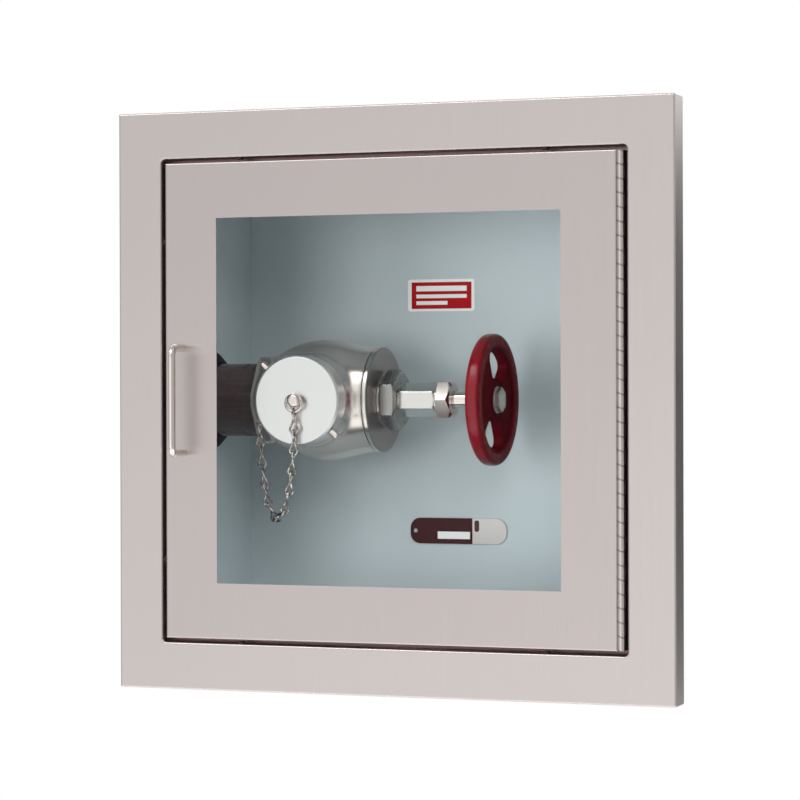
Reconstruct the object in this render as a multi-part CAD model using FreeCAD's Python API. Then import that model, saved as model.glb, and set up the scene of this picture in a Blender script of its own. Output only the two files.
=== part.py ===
import FreeCAD
import Part
import math
import os

# Landing valve cabinet, semi-recessed, with its angle hose valve.
# Millimetres. The origin is the centre of the tub's rear face, +Y goes into the wall, +Z is up.

V = FreeCAD.Vector
X_DIR = V(1, 0, 0)
FRONT_DIR = V(0, -1, 0)
Z_DIR = V(0, 0, 1)

# Trim frame and tub
TRIM_SIZE = 558.8
TRIM_FACE = 45.4
TRIM_PROJECTION = 28.0
TRIM_SHEET = 1.5
TRIM_BEND = 2.0
OPENING_CORNER = 4.0
JAMB_DEPTH = 24.0
STOP_WIDTH = 10.0
CABINET_DEPTH = 223.0
TUB_SHEET = 1.2
TUB_BEND = 3.0
TUB_SETBACK = 2.0
JAMB_CLEARANCE = 0.2
JAMB_SCREW_PITCH = 308.0
JAMB_SCREW_SETBACK = 8.0
JAMB_SCREW_R = 2.0
JAMB_HEAD_R = 3.6
JAMB_HEAD_H = 2.2
FIXING_PITCH = 300.0
FIXING_SETBACK = 53.0
FIXING_R = 3.5

# Door and glazing
DOOR_GAP = 4.0
HINGE_GAP = 9.5
DOOR_THICK = 16.0
DOOR_SHEET = 1.2
DOOR_BEND = 2.0
DOOR_BORDER = 54.0
DOOR_LIP = 10.0
GASKET_SETBACK = 2.0
GASKET_THICK = 1.0
PANE_LAP = 12.0
PANE_THICK = 4.0
RETAINER_SHEET = 1.2
RETAINER_LIP = 9.0
RETAINER_FOOT = 13.0
RETAINER_CLEARANCE = 0.2
STUD_R = 2.0
STUD_LENGTH = 6.0
STUD_CLEARANCE = 0.3
STUDS_PER_SIDE = 3
NUT_FLATS = 7.0
NUT_THICK = 3.2

# Pull, catch and bumpers
PULL_INSET = 19.0
PULL_CENTRES = 102.0
PULL_ROD_R = 4.0
PULL_STANDOFF = 27.0
PULL_BEND = 9.0
PULL_SCREW_R = 2.4
PULL_SCREW_DEPTH = 10.0
CATCH_HEIGHT = 50.0
CATCH_WIDTH = 9.0
CATCH_GAP = 0.2
STRIKE_THICK = 1.0
STRIKE_HEIGHT = 40.0
BUMPER_R = 4.0
BUMPER_PITCH = 380.0
BUMPER_GAP = 0.3

# Continuous hinge
BARREL_R = 3.2
LEAF_SHEET = 1.0
PIN_R = 2.1
PIN_CLEARANCE = 0.1
KNUCKLE_PITCH = 13.1
KNUCKLE_GAP = 0.3
HINGE_SETBACK = 0.6
DOOR_LEAF_DEPTH = 14.0
FRAME_LEAF_DEPTH = 19.0
STRIP_SETBACK = 10.0
RIVET_R = 1.6
RIVET_HEAD_R = 2.6
RIVET_HEAD_H = 1.0
RIVET_COUNT = 6

# Supply pipe and its grommet
PIPE_R = 36.5
PIPE_BORE_R = 31.3
PIPE_OUTSIDE = 38.0
PIPE_THREAD_CUT = 0.6
PIPE_THREAD_SHOWN = 19.0
PIPE_THREAD_OUTER = 25.0
PIPE_ENGAGED = 26.0
GROMMET_CONE = 11.0
GROMMET_FLANGE_R = 49.0
GROMMET_FLANGE_T = 3.0
GROMMET_GROOVE_R = 45.0

# Valve body, sizes along the stem axis run from the outlet axis
VALVE_X = -110.0
VALVE_DEPTH = 126.0
INLET_REACH = 65.0
HUB_FLATS = 86.0
HUB_LENGTH = 16.0
HUB_LAP = 3.0
BARREL_BODY_R = 60.2
BARREL_LEFT_DROP = 16.2
BARREL_RIGHT = 26.0
BARREL_RIGHT_DROP = 4.2
COLLAR_R = 51.4
COLLAR_END = 54.0
SEAT_AT = -22.0
SEAT_BORE_R = 26.0
SEAT_LIP_R = 30.0
SEAT_LIP_H = 6.0
CHAMBER_R = 46.0
CHAMBER_END = 30.0
BONNET_BORE_R = 41.5
NOZZLE_R = 41.0
NOZZLE_FLARE_R = 46.0
NOZZLE_FLARE_H = 10.0
NOZZLE_THREAD_R = 38.9
NOZZLE_BORE_R = 30.0
NOZZLE_REACH = 78.0
NOZZLE_THREAD_L = 18.0

# Bonnet, packing and stem
BONNET_SPIGOT = 14.0
BONNET_FLANGE_R = 52.2
BONNET_FLANGE_T = 5.0
BONNET_GASKET_T = 1.0
BONNET_NECK_R = 25.0
BONNET_NECK_L = 3.6
BONNET_HEX_FLATS = 52.0
BONNET_HEX_L = 14.6
HEX_CHAMFER = 1.6
HEX_CHAMFER_CUT = 2.8
STUFFING_FLATS = 29.0
STUFFING_L = 38.0
STUFFING_BORE_R = 11.5
STUFFING_THREAD_R = 14.0
STUFFING_THREAD_L = 11.0
PACKING_L = 14.0
GLAND_L = 7.0
PACKING_NUT_FLATS = 35.5
PACKING_NUT_L = 13.6
PACKING_NUT_GAP = 2.8
PACKING_NUT_WALL = 4.6
SEAT_CLEARANCE = 0.1
FIT_CLEARANCE = 0.1
STEM_CLEARANCE = 0.35
STEM_R = 8.5
STEM_BUTTON_R = 11.0
STEM_BUTTON_L = 7.4
STEM_NECK_R = 6.5
STEM_SEAT_R = 7.0
STEM_TIP_R = 5.0
STEM_TIP_OUT = 1.0
DISC_R = 31.0
DISC_T = 6.0
DISC_HOLDER_FLANGE = 7.0
DISC_HOLDER_R = 18.0
DISC_RETAINER_FLATS = 30.0
DISC_RETAINER_L = 8.0
DISC_SCREW_R = 4.0
DISC_WASHER_R = 12.0

# Handwheel
WHEEL_AT = 172.0
WHEEL_R = 64.5
WHEEL_RIM_W = 15.5
WHEEL_RIM_T = 14.0
WHEEL_RIM_ROUND = 5.5
WHEEL_WEB_T = 10.0
WHEEL_WEB_OUT = 4.2
WHEEL_HUB_R = 15.0
WHEEL_HUB_L = 18.0
WHEEL_HUB_OUT = 4.8
WHEEL_OPENINGS = 2
WHEEL_OPENING_INNER = 21.0
WHEEL_OPENING_OUTER = 49.0
WHEEL_OPENING_ANGLE = 76.0
WHEEL_OPENING_TURN = -10.0
WHEEL_OPENING_ROUND = 7.0
WHEEL_NOTCHES = 28
WHEEL_NOTCH_R = 7.0
WHEEL_NOTCH_CUT = 0.9
WHEEL_WASHER_R = 13.2
WHEEL_WASHER_T = 1.0
WHEEL_NUT_FLATS = 21.5
WHEEL_NUT_L = 4.4

# Outlet cap, swivel eye and chain
CAP_R = 44.2
CAP_REACH = 85.0
CAP_RIM = 18.6
CAP_FACE_T = 4.5
CAP_EDGE = 2.0
CAP_THREAD_CLEARANCE = 0.4
CAP_GASKET_T = 2.4
LUG_R = 4.0
LUG_OUT = 9.0
LUG_BURIED = 2.5
LUG_ANGLE = 138.0
EYE_SHANK_R = 2.0
EYE_NECK_R = 3.5
EYE_HEAD_R = 6.8
EYE_HEAD_H = 4.6
EYE_WIRE_R = 1.3
EYE_RING_R = 8.4
EYE_RING_DROP = 2.6
EYE_STANDOFF = 6.0
EYE_CLEARANCE = 0.3
EYE_NUT_FLATS = 9.0
EYE_NUT_T = 3.0
EAR_RING_R = 3.8
EAR_WIRE_R = 1.2
CHAIN_WIRE_R = 1.0
RING_SIDES = 14
CHAIN_LOOP_R = 3.7
CHAIN_PITCH = 20.5
CHAIN_SLACK = 1.0
CHAIN_PARTED_SLACK = 2.0
CHAIN_DROP = 117.0
CHAIN_STRAIGHT = 48.0
CHAIN_LEFT_LINKS = 3

# Label and tag on the back wall
LABEL_X = -24.4
LABEL_Z = 105.9
LABEL_W = 72.0
LABEL_H = 32.6
LABEL_T = 0.8
LABEL_CORNER = 3.0
TAG_X = -57.7
TAG_Z = -133.8
TAG_LENGTH = 103.0
TAG_H = 26.2
TAG_T = 2.0
TAG_SPLIT = 66.6
TAG_HOLE_INSET = 5.1
TAG_HOLE_R = 2.3
TAG_ROUND = 10.5
TAG_END_ROUND = 11.5
TAG_STRIP_L = 34.6
TAG_STRIP_H = 7.4
TAG_STRIP_T = 0.6
TAG_STRIP_DROP = 4.4

# Positions that follow from the sizes
FRONT_Y = -CABINET_DEPTH
TRIM_HALF = TRIM_SIZE / 2
OPENING_HALF = TRIM_HALF - TRIM_FACE
TUB_HALF = OPENING_HALF + TRIM_SHEET + JAMB_CLEARANCE
TUB_OUTER = TUB_HALF + TUB_SHEET
WALL_Y = -TUB_SHEET
STOP_Y = FRONT_Y + JAMB_DEPTH - TRIM_SHEET
DOOR_LEFT = -OPENING_HALF + DOOR_GAP
DOOR_RIGHT = OPENING_HALF - HINGE_GAP
DOOR_MID = (DOOR_LEFT + DOOR_RIGHT) / 2
DOOR_HALF_W = (DOOR_RIGHT - DOOR_LEFT) / 2
DOOR_HALF_H = OPENING_HALF - DOOR_GAP
DOOR_BACK_Y = FRONT_Y + DOOR_THICK
CUT_HALF_W = DOOR_HALF_W - DOOR_BORDER
CUT_HALF_H = DOOR_HALF_H - DOOR_BORDER
SHEET_BACK_Y = FRONT_Y + DOOR_SHEET
PANE_Y = SHEET_BACK_Y + GASKET_THICK
PANE_BACK_Y = PANE_Y + PANE_THICK
STUD_OFFSET = PANE_LAP + RETAINER_CLEARANCE + RETAINER_SHEET + RETAINER_FOOT / 2
HINGE_X = DOOR_RIGHT + BARREL_R
HINGE_Y = FRONT_Y + HINGE_SETBACK
KNUCKLE_COUNT = 2 * math.floor(DOOR_HALF_H / KNUCKLE_PITCH - 0.5) + 1
HINGE_HALF = KNUCKLE_PITCH * KNUCKLE_COUNT / 2
PULL_X = DOOR_LEFT + PULL_INSET
VALVE_Y = FRONT_Y + VALVE_DEPTH
BARREL_LEFT = INLET_REACH - HUB_LENGTH + HUB_LAP
BONNET_AT = COLLAR_END + BONNET_GASKET_T
HEX_AT = BONNET_AT + BONNET_FLANGE_T + BONNET_NECK_L
STUFFING_AT = HEX_AT + BONNET_HEX_L
STUFFING_END = STUFFING_AT + STUFFING_L
PACKING_NUT_AT = STUFFING_END + PACKING_NUT_GAP
PACKING_NUT_END = PACKING_NUT_AT + PACKING_NUT_L
GLAND_END = PACKING_NUT_END - PACKING_NUT_WALL
PACKING_END = GLAND_END - GLAND_L
PACKING_AT = PACKING_END - PACKING_L
DISC_AT = SEAT_AT + SEAT_CLEARANCE
HOLDER_AT = DISC_AT + DISC_T
BUTTON_AT = HOLDER_AT + DISC_HOLDER_FLANGE - 2.5
RETAINER_AT = BUTTON_AT + STEM_BUTTON_L + 2 * STEM_CLEARANCE
RETAINER_END = RETAINER_AT + DISC_RETAINER_L
WHEEL_HUB_END = WHEEL_AT + WHEEL_HUB_OUT
WHEEL_HUB_AT = WHEEL_HUB_END - WHEEL_HUB_L
WHEEL_NUT_AT = WHEEL_HUB_END + WHEEL_WASHER_T
CAP_INNER = CAP_REACH - CAP_FACE_T
EYE_AT = CAP_REACH + EYE_STANDOFF
EAR_AT = -INLET_REACH + HUB_LENGTH / 2
EAR_DIR = V(0, -math.cos(math.radians(30)), -math.sin(math.radians(30)))
CHAIN_LINKED = 2 * (CHAIN_LOOP_R - CHAIN_WIRE_R) - CHAIN_SLACK


def box(x0, x1, y0, y1, z0, z1):
    return Part.makeBox(x1 - x0, y1 - y0, z1 - z0, V(x0, y0, z0))


def fuse(first, others):
    return first.fuse(others).removeSplitter()


def plate(mid_x, half_w, half_h, y0, y1, corner):
    solid = box(mid_x - half_w, mid_x + half_w, y0, y1, -half_h, half_h)
    if corner <= 0:
        return solid
    edges = [e for e in solid.Edges if abs(e.Vertexes[0].Y - e.Vertexes[1].Y) > (y1 - y0) / 2]
    return solid.makeFillet(corner, edges)


def edges_at(solid, y, half_w=None):
    found = []
    for edge in solid.Edges:
        b = edge.BoundBox
        flat = abs(b.YMin - y) < 1e-4 and abs(b.YMax - y) < 1e-4
        if flat and (half_w is None or max(abs(b.XMin), abs(b.XMax)) < half_w):
            found.append(edge)
    return found


def rod(radius, start, direction, length):
    return Part.makeCylinder(radius, length, start, direction)


def tube(outer, inner, start, direction, length):
    return rod(outer, start, direction, length).cut(rod(inner, start, direction, length))


def hexagon(flats, start, direction, length, up):
    side = direction.cross(up)
    reach = flats / math.sqrt(3)
    points = []
    for step in range(7):
        angle = math.radians(60 * step)
        points.append(start + up * (reach * math.cos(angle)) + side * (reach * math.sin(angle)))
    return Part.Face(Part.makePolygon(points)).extrude(direction * length)


def stem_point(along, radius=0.0):
    return V(VALVE_X + along, VALVE_Y, radius)


def outlet_point(out, radius=0.0, z=0.0):
    return V(VALVE_X + radius, VALVE_Y - out, z)


def turned(points, place, axis):
    ring = [place(a, r) for a, r in points]
    return Part.Face(Part.makePolygon(ring + ring[:1])).revolve(place(0), axis, 360)


def on_stem(points):
    return turned(points, stem_point, X_DIR)


def on_outlet(points):
    return turned(points, outlet_point, FRONT_DIR)


def ring(centre, normal, loop_r, wire_r):
    """A closed loop of six-sided wire in short straight lengths."""
    side = V(0, 0, 1) if abs(normal.z) < 0.9 else V(1, 0, 0)
    across = normal.cross(side).normalize()
    side = normal.cross(across)
    sections = []
    for i in range(RING_SIDES):
        turn = 2 * math.pi * i / RING_SIDES
        out = across * math.cos(turn) + side * math.sin(turn)
        angles = [math.radians(60 * k + 30) for k in range(6)]
        sections.append([centre + out * (loop_r + wire_r * math.cos(t)) + normal * (wire_r * math.sin(t))
                         for t in angles])
    faces = []
    for i in range(RING_SIDES):
        here = sections[i - 1]
        there = sections[i]
        for k in range(6):
            corners = [here[k - 1], here[k], there[k], there[k - 1], here[k - 1]]
            faces.append(Part.Face(Part.makePolygon(corners)))
    return Part.makeSolid(Part.makeShell(faces))


def spread(count, half):
    return [-half + 2 * half * i / (count - 1) for i in range(count)]


def jamb_places():
    """Inner jamb point and outward direction of each jamb screw, hinge side left clear."""
    places = []
    y = FRONT_Y + JAMB_SCREW_SETBACK
    for along in (-JAMB_SCREW_PITCH / 2, JAMB_SCREW_PITCH / 2):
        places.append((V(-OPENING_HALF, y, along), V(-1, 0, 0)))
        places.append((V(along, y, OPENING_HALF), V(0, 0, 1)))
        places.append((V(along, y, -OPENING_HALF), V(0, 0, -1)))
    return places


def frame_rivet_places():
    half = HINGE_HALF - 1.5 * KNUCKLE_PITCH
    return [V(HINGE_X, HINGE_Y + FRAME_LEAF_DEPTH * 0.7, z) for z in spread(RIVET_COUNT, half)]


def door_rivet_places():
    half = HINGE_HALF - 2.5 * KNUCKLE_PITCH
    return [V(HINGE_X, HINGE_Y + DOOR_LEAF_DEPTH * 0.65, z) for z in spread(RIVET_COUNT, half)]


def trim_frame():
    back = FRONT_Y + TRIM_PROJECTION
    blank = plate(0, TRIM_HALF, TRIM_HALF, FRONT_Y, back, TRIM_BEND / 2)
    blank = blank.makeFillet(TRIM_BEND, edges_at(blank, FRONT_Y))
    hole = plate(0, OPENING_HALF, OPENING_HALF, FRONT_Y - 1, back + 1, OPENING_CORNER)
    frame = blank.cut(hole)
    frame = frame.makeFillet(TRIM_BEND, edges_at(frame, FRONT_Y, OPENING_HALF + TRIM_SHEET))
    jamb = OPENING_HALF + TRIM_SHEET
    outer = TRIM_HALF - TRIM_SHEET
    jamb_block = plate(0, jamb, jamb, FRONT_Y, back + 1, OPENING_CORNER + TRIM_SHEET)
    channel = plate(0, outer, outer, FRONT_Y + TRIM_SHEET, back + 1, TRIM_BEND / 2).cut(jamb_block)
    frame = frame.cut(channel)
    spare = plate(0, jamb, jamb, FRONT_Y + JAMB_DEPTH, back + 1, OPENING_CORNER + TRIM_SHEET)
    frame = frame.cut(spare)
    stop = plate(0, jamb, jamb, STOP_Y, FRONT_Y + JAMB_DEPTH, OPENING_CORNER + TRIM_SHEET)
    inner = OPENING_HALF - STOP_WIDTH
    frame = fuse(frame, [stop.cut(plate(0, inner, inner, STOP_Y - 1, back, OPENING_CORNER))])
    holes = [rod(JAMB_SCREW_R + FIT_CLEARANCE, p, d, TRIM_SHEET * 2) for p, d in jamb_places()]
    holes += [rod(RIVET_R + FIT_CLEARANCE, p, X_DIR, TRIM_FACE / 2) for p in frame_rivet_places()]
    return frame.cut(holes)


def tub():
    front = FRONT_Y + TUB_SETBACK
    shell = plate(0, TUB_OUTER, TUB_OUTER, front, 0, TUB_BEND)
    shell = shell.makeFillet(TUB_BEND, edges_at(shell, 0))
    shell = shell.cut(plate(0, TUB_HALF, TUB_HALF, front - 1, WALL_Y, TUB_BEND - TUB_SHEET))
    holes = [rod(GROMMET_GROOVE_R + FIT_CLEARANCE, stem_point(0), V(-1, 0, 0), TUB_OUTER)]
    holes += [rod(JAMB_SCREW_R + FIT_CLEARANCE, p, d, TRIM_FACE / 2) for p, d in jamb_places()]
    holes += [rod(RIVET_R + FIT_CLEARANCE, p, X_DIR, TRIM_FACE / 2) for p in frame_rivet_places()]
    for z in (-FIXING_PITCH / 2, FIXING_PITCH / 2):
        holes.append(rod(FIXING_R, V(-TUB_OUTER - 1, FRONT_Y + FIXING_SETBACK, z), X_DIR, 2 * TUB_OUTER + 2))
    return shell.cut(holes)


def jamb_screws():
    screws = []
    for place, out in jamb_places():
        head = rod(JAMB_HEAD_R, place - out * JAMB_HEAD_H, out, JAMB_HEAD_H)
        edges = [e for e in head.Edges if e.Curve.TypeId == "Part::GeomCircle"]
        inner = [e for e in edges if (e.CenterOfMass - place).Length > JAMB_HEAD_H / 2]
        head = head.makeFillet(JAMB_HEAD_H * 0.5, inner)
        length = TRIM_SHEET + JAMB_CLEARANCE + TUB_SHEET + 6
        screws.append(fuse(head, [rod(JAMB_SCREW_R, place, out, length)]))
    return Part.makeCompound(screws)


def door_panel():
    pan = plate(DOOR_MID, DOOR_HALF_W, DOOR_HALF_H, FRONT_Y, DOOR_BACK_Y, DOOR_BEND / 2)
    pan = pan.makeFillet(DOOR_BEND, edges_at(pan, FRONT_Y))
    in_w = DOOR_HALF_W - DOOR_SHEET
    in_h = DOOR_HALF_H - DOOR_SHEET
    pan = pan.cut(plate(DOOR_MID, in_w, in_h, SHEET_BACK_Y, DOOR_BACK_Y - DOOR_SHEET, 0))
    lip_w = in_w - DOOR_LIP
    lip_h = in_h - DOOR_LIP
    pan = pan.cut(plate(DOOR_MID, lip_w, lip_h, SHEET_BACK_Y, DOOR_BACK_Y + 1, 0))
    pan = pan.cut(plate(DOOR_MID, CUT_HALF_W, CUT_HALF_H, FRONT_Y - 1, DOOR_BACK_Y, 0))
    holes = [rod(PULL_SCREW_R + FIT_CLEARANCE, V(PULL_X, FRONT_Y - 1, z), V(0, 1, 0), DOOR_SHEET + 2)
             for z in (-PULL_CENTRES / 2, PULL_CENTRES / 2)]
    holes += [rod(RIVET_R + FIT_CLEARANCE, p, V(-1, 0, 0), DOOR_LIP) for p in door_rivet_places()]
    studs = [rod(STUD_R, p, V(0, 1, 0), STUD_LENGTH) for p in stud_places()]
    return fuse(pan.cut(holes), studs)


def stud_places():
    places = []
    wide = CUT_HALF_W - PANE_LAP
    high = CUT_HALF_H - PANE_LAP
    for step in spread(STUDS_PER_SIDE, 1.0):
        for sign in (-1, 1):
            places.append(V(DOOR_MID + sign * (CUT_HALF_W + STUD_OFFSET), SHEET_BACK_Y, step * high))
            places.append(V(DOOR_MID + step * wide, SHEET_BACK_Y, sign * (CUT_HALF_H + STUD_OFFSET)))
    return places


def glazing_pane():
    half_w = CUT_HALF_W + PANE_LAP
    return plate(DOOR_MID, half_w, CUT_HALF_H + PANE_LAP, PANE_Y, PANE_BACK_Y, 1.0)


def glazing_gasket():
    outer = plate(DOOR_MID, CUT_HALF_W + PANE_LAP, CUT_HALF_H + PANE_LAP, SHEET_BACK_Y, PANE_Y, 1.0)
    half_w = CUT_HALF_W + GASKET_SETBACK
    half_h = CUT_HALF_H + GASKET_SETBACK
    return outer.cut(plate(DOOR_MID, half_w, half_h, SHEET_BACK_Y - 1, PANE_Y + 1, 0))


def retainer_section(length):
    """A stepped strip along X: lip over the pane, web beside it and foot on the door sheet."""
    web = PANE_LAP + RETAINER_CLEARANCE
    foot = web + RETAINER_SHEET
    half = length / 2
    top = PANE_BACK_Y + RETAINER_SHEET
    lip = box(-half, half, PANE_BACK_Y, top, PANE_LAP - RETAINER_LIP, foot)
    wall = box(-half, half, SHEET_BACK_Y, top, web, foot)
    base = box(-half, half, SHEET_BACK_Y, SHEET_BACK_Y + RETAINER_SHEET, web, foot + RETAINER_FOOT)
    return fuse(lip, [wall, base])


def drilled(strip):
    holes = [rod(STUD_R + STUD_CLEARANCE, p, V(0, 1, 0), RETAINER_SHEET * 2) for p in stud_places()]
    return strip.cut(holes)


def retainer_across(sign):
    strip = retainer_section(2 * (CUT_HALF_W + STUD_OFFSET))
    strip.translate(V(DOOR_MID, 0, CUT_HALF_H))
    if sign < 0:
        strip = strip.mirror(V(0, 0, 0), Z_DIR)
    return drilled(strip)


def retainer_upright(sign):
    reach = CUT_HALF_H + PANE_LAP - RETAINER_LIP - RETAINER_CLEARANCE
    strip = retainer_section(2 * reach)
    strip.rotate(V(0, 0, 0), V(0, 1, 0), 90)
    strip.translate(V(CUT_HALF_W, 0, 0))
    if sign < 0:
        strip = strip.mirror(V(0, 0, 0), X_DIR)
    strip.translate(V(DOOR_MID, 0, 0))
    return drilled(strip)


def retainer_nuts():
    nuts = []
    for place in stud_places():
        start = place + V(0, RETAINER_SHEET, 0)
        nut = hexagon(NUT_FLATS, start, V(0, 1, 0), NUT_THICK, Z_DIR)
        nuts.append(nut.cut(rod(STUD_R + FIT_CLEARANCE, place, V(0, 1, 0), NUT_THICK * 3)))
    return Part.makeCompound(nuts)


def pull_handle():
    half = PULL_CENTRES / 2
    out = FRONT_Y - PULL_STANDOFF
    bend = PULL_BEND
    corner = bend * (1 - math.sqrt(0.5))
    a = V(PULL_X, FRONT_Y, half)
    b = V(PULL_X, out + bend, half)
    b_mid = V(PULL_X, out + corner, half - corner)
    c = V(PULL_X, out, half - bend)
    d = V(PULL_X, out, bend - half)
    e_mid = V(PULL_X, out + corner, corner - half)
    e = V(PULL_X, out + bend, -half)
    f = V(PULL_X, FRONT_Y, -half)
    path = [Part.makeLine(a, b), Part.Arc(b, b_mid, c).toShape(), Part.makeLine(c, d)]
    path += [Part.Arc(d, e_mid, e).toShape(), Part.makeLine(e, f)]
    section = Part.Wire([Part.makeCircle(PULL_ROD_R, a, FRONT_DIR)])
    bar = Part.Wire(path).makePipeShell([section], True, True)
    holes = [rod(PULL_SCREW_R + FIT_CLEARANCE, p, FRONT_DIR, PULL_SCREW_DEPTH + 1) for p in (a, f)]
    return bar.cut(holes)


def pull_screws():
    screws = []
    for z in (-PULL_CENTRES / 2, PULL_CENTRES / 2):
        start = V(PULL_X, SHEET_BACK_Y, z)
        shank = rod(PULL_SCREW_R, start, FRONT_DIR, DOOR_SHEET + PULL_SCREW_DEPTH)
        screws.append(fuse(shank, [rod(PULL_SCREW_R * 1.8, start, V(0, 1, 0), PULL_SCREW_R)]))
    return Part.makeCompound(screws)


def knuckles(first, inner_x, plate_depth, outer_sign):
    """Every second knuckle of the barrel with its leaf."""
    x0 = min(inner_x, inner_x + outer_sign * LEAF_SHEET)
    x1 = max(inner_x, inner_x + outer_sign * LEAF_SHEET)
    leaf_y = HINGE_Y + BARREL_R + 0.5
    pieces = []
    length = KNUCKLE_PITCH - KNUCKLE_GAP
    bore = PIN_R + PIN_CLEARANCE
    for i in range(first, KNUCKLE_COUNT, 2):
        z = -HINGE_HALF + i * KNUCKLE_PITCH + KNUCKLE_GAP / 2
        start = V(HINGE_X, HINGE_Y, z)
        tab = box(x0, x1, HINGE_Y, leaf_y, z, z + length)
        barrel = rod(BARREL_R, start, Z_DIR, length).fuse(tab)
        pieces.append(barrel.cut(rod(bore, start, Z_DIR, length)))
    sheet = box(x0, x1, leaf_y, HINGE_Y + plate_depth, -HINGE_HALF, HINGE_HALF)
    return fuse(sheet, pieces)


def hinge_door_leaf():
    leaf = knuckles(1, DOOR_RIGHT, DOOR_LEAF_DEPTH, 1)
    holes = [rod(RIVET_R + FIT_CLEARANCE, p, V(-1, 0, 0), BARREL_R + 1) for p in door_rivet_places()]
    return leaf.cut(holes)


def hinge_frame_leaf():
    leaf = knuckles(0, HINGE_X + BARREL_R, FRAME_LEAF_DEPTH, -1)
    holes = [rod(RIVET_R + FIT_CLEARANCE, p, X_DIR, BARREL_R + 1) for p in frame_rivet_places()]
    return leaf.cut(holes)


def hinge_pin():
    return rod(PIN_R, V(HINGE_X, HINGE_Y, -HINGE_HALF), Z_DIR, 2 * HINGE_HALF)


def hinge_strip():
    x0 = HINGE_X + BARREL_R
    y0 = FRONT_Y + STRIP_SETBACK
    strip = box(x0, OPENING_HALF, y0, HINGE_Y + FRAME_LEAF_DEPTH, -HINGE_HALF, HINGE_HALF)
    return strip.cut([rod(RIVET_R + FIT_CLEARANCE, p, X_DIR, HINGE_GAP) for p in frame_rivet_places()])


def rivet(face, direction, length):
    head = rod(RIVET_HEAD_R, face - direction * RIVET_HEAD_H, direction, RIVET_HEAD_H)
    return fuse(head, [rod(RIVET_R, face, direction, length)])


def hinge_frame_rivets():
    inner = HINGE_X + BARREL_R - LEAF_SHEET
    length = TUB_OUTER - inner + 2
    return Part.makeCompound([rivet(V(inner, p.y, p.z), X_DIR, length) for p in frame_rivet_places()])


def hinge_door_rivets():
    outer = DOOR_RIGHT + LEAF_SHEET
    length = LEAF_SHEET + DOOR_SHEET + 2
    return Part.makeCompound([rivet(V(outer, p.y, p.z), V(-1, 0, 0), length) for p in door_rivet_places()])


def catch_magnet():
    x0 = -OPENING_HALF + 0.4
    half = CATCH_HEIGHT / 2
    return box(x0, x0 + CATCH_WIDTH, DOOR_BACK_Y + STRIKE_THICK + CATCH_GAP, STOP_Y, -half, half)


def strike_plate():
    half = STRIKE_HEIGHT / 2
    x0 = DOOR_LEFT + DOOR_SHEET
    return box(x0, x0 + DOOR_LIP - DOOR_SHEET, DOOR_BACK_Y, DOOR_BACK_Y + STRIKE_THICK, -half, half)


def door_bumpers():
    start_y = DOOR_BACK_Y + BUMPER_GAP
    x = -OPENING_HALF + STOP_WIDTH / 2
    pads = [rod(BUMPER_R, V(x, start_y, z), V(0, 1, 0), STOP_Y - start_y)
            for z in (-BUMPER_PITCH / 2, BUMPER_PITCH / 2)]
    return Part.makeCompound(pads)


def supply_pipe():
    end = -TUB_OUTER - PIPE_OUTSIDE - VALVE_X
    cut_r = PIPE_R - PIPE_THREAD_CUT
    inner = -INLET_REACH + PIPE_ENGAGED
    shown = -INLET_REACH - PIPE_THREAD_SHOWN
    outer = end + PIPE_THREAD_OUTER
    points = [(end, PIPE_BORE_R), (end, cut_r), (outer, cut_r), (outer, PIPE_R), (shown, PIPE_R)]
    points += [(shown, cut_r), (inner, cut_r), (inner, PIPE_BORE_R)]
    return on_stem(points)


def pipe_grommet():
    bore = PIPE_R + FIT_CLEARANCE
    inner = -TUB_HALF - VALVE_X
    outer = -TUB_OUTER - VALVE_X
    points = [(outer - GROMMET_FLANGE_T, bore), (outer - GROMMET_FLANGE_T, GROMMET_FLANGE_R)]
    points += [(outer, GROMMET_FLANGE_R), (outer, GROMMET_GROOVE_R), (inner, GROMMET_GROOVE_R)]
    points += [(inner, GROMMET_FLANGE_R), (inner + GROMMET_CONE, PIPE_R + 1.5), (inner + GROMMET_CONE, bore)]
    return on_stem(points)


def level_arc(level, end):
    """An arc that leaves one point (along, radius) parallel to the stem and ends at the other."""
    reach = end[0] - level[0]
    rise = end[1] - level[1]
    radius = (reach * reach + rise * rise) / (2 * abs(rise))
    half = math.asin(abs(reach) / radius) / 2
    along = level[0] + math.copysign(radius * math.sin(half), reach)
    mid = level[1] + math.copysign(radius * (1 - math.cos(half)), rise)
    return Part.Arc(stem_point(*level), stem_point(along, mid), stem_point(*end)).toShape()


def barrel_solid():
    """The bulging body, widest at the outlet axis and swept in to the bonnet's flange."""
    top = (0, BARREL_BODY_R)
    left = (-BARREL_LEFT, BARREL_BODY_R - BARREL_LEFT_DROP)
    right = (BARREL_RIGHT, BARREL_BODY_R - BARREL_RIGHT_DROP)
    collar = (COLLAR_END, COLLAR_R)
    edges = [level_arc(top, left), level_arc(top, right), level_arc(collar, right)]
    path = [stem_point(*collar), stem_point(COLLAR_END), stem_point(-BARREL_LEFT), stem_point(*left)]
    edges += [Part.makeLine(path[i], path[i + 1]) for i in range(3)]
    return Part.Face(Part.Wire(Part.__sortEdges__(edges))).revolve(stem_point(0), X_DIR, 360)


def ear_centre():
    return stem_point(EAR_AT) + EAR_DIR * (HUB_FLATS / 2 + EAR_RING_R - EAR_WIRE_R)


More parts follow.
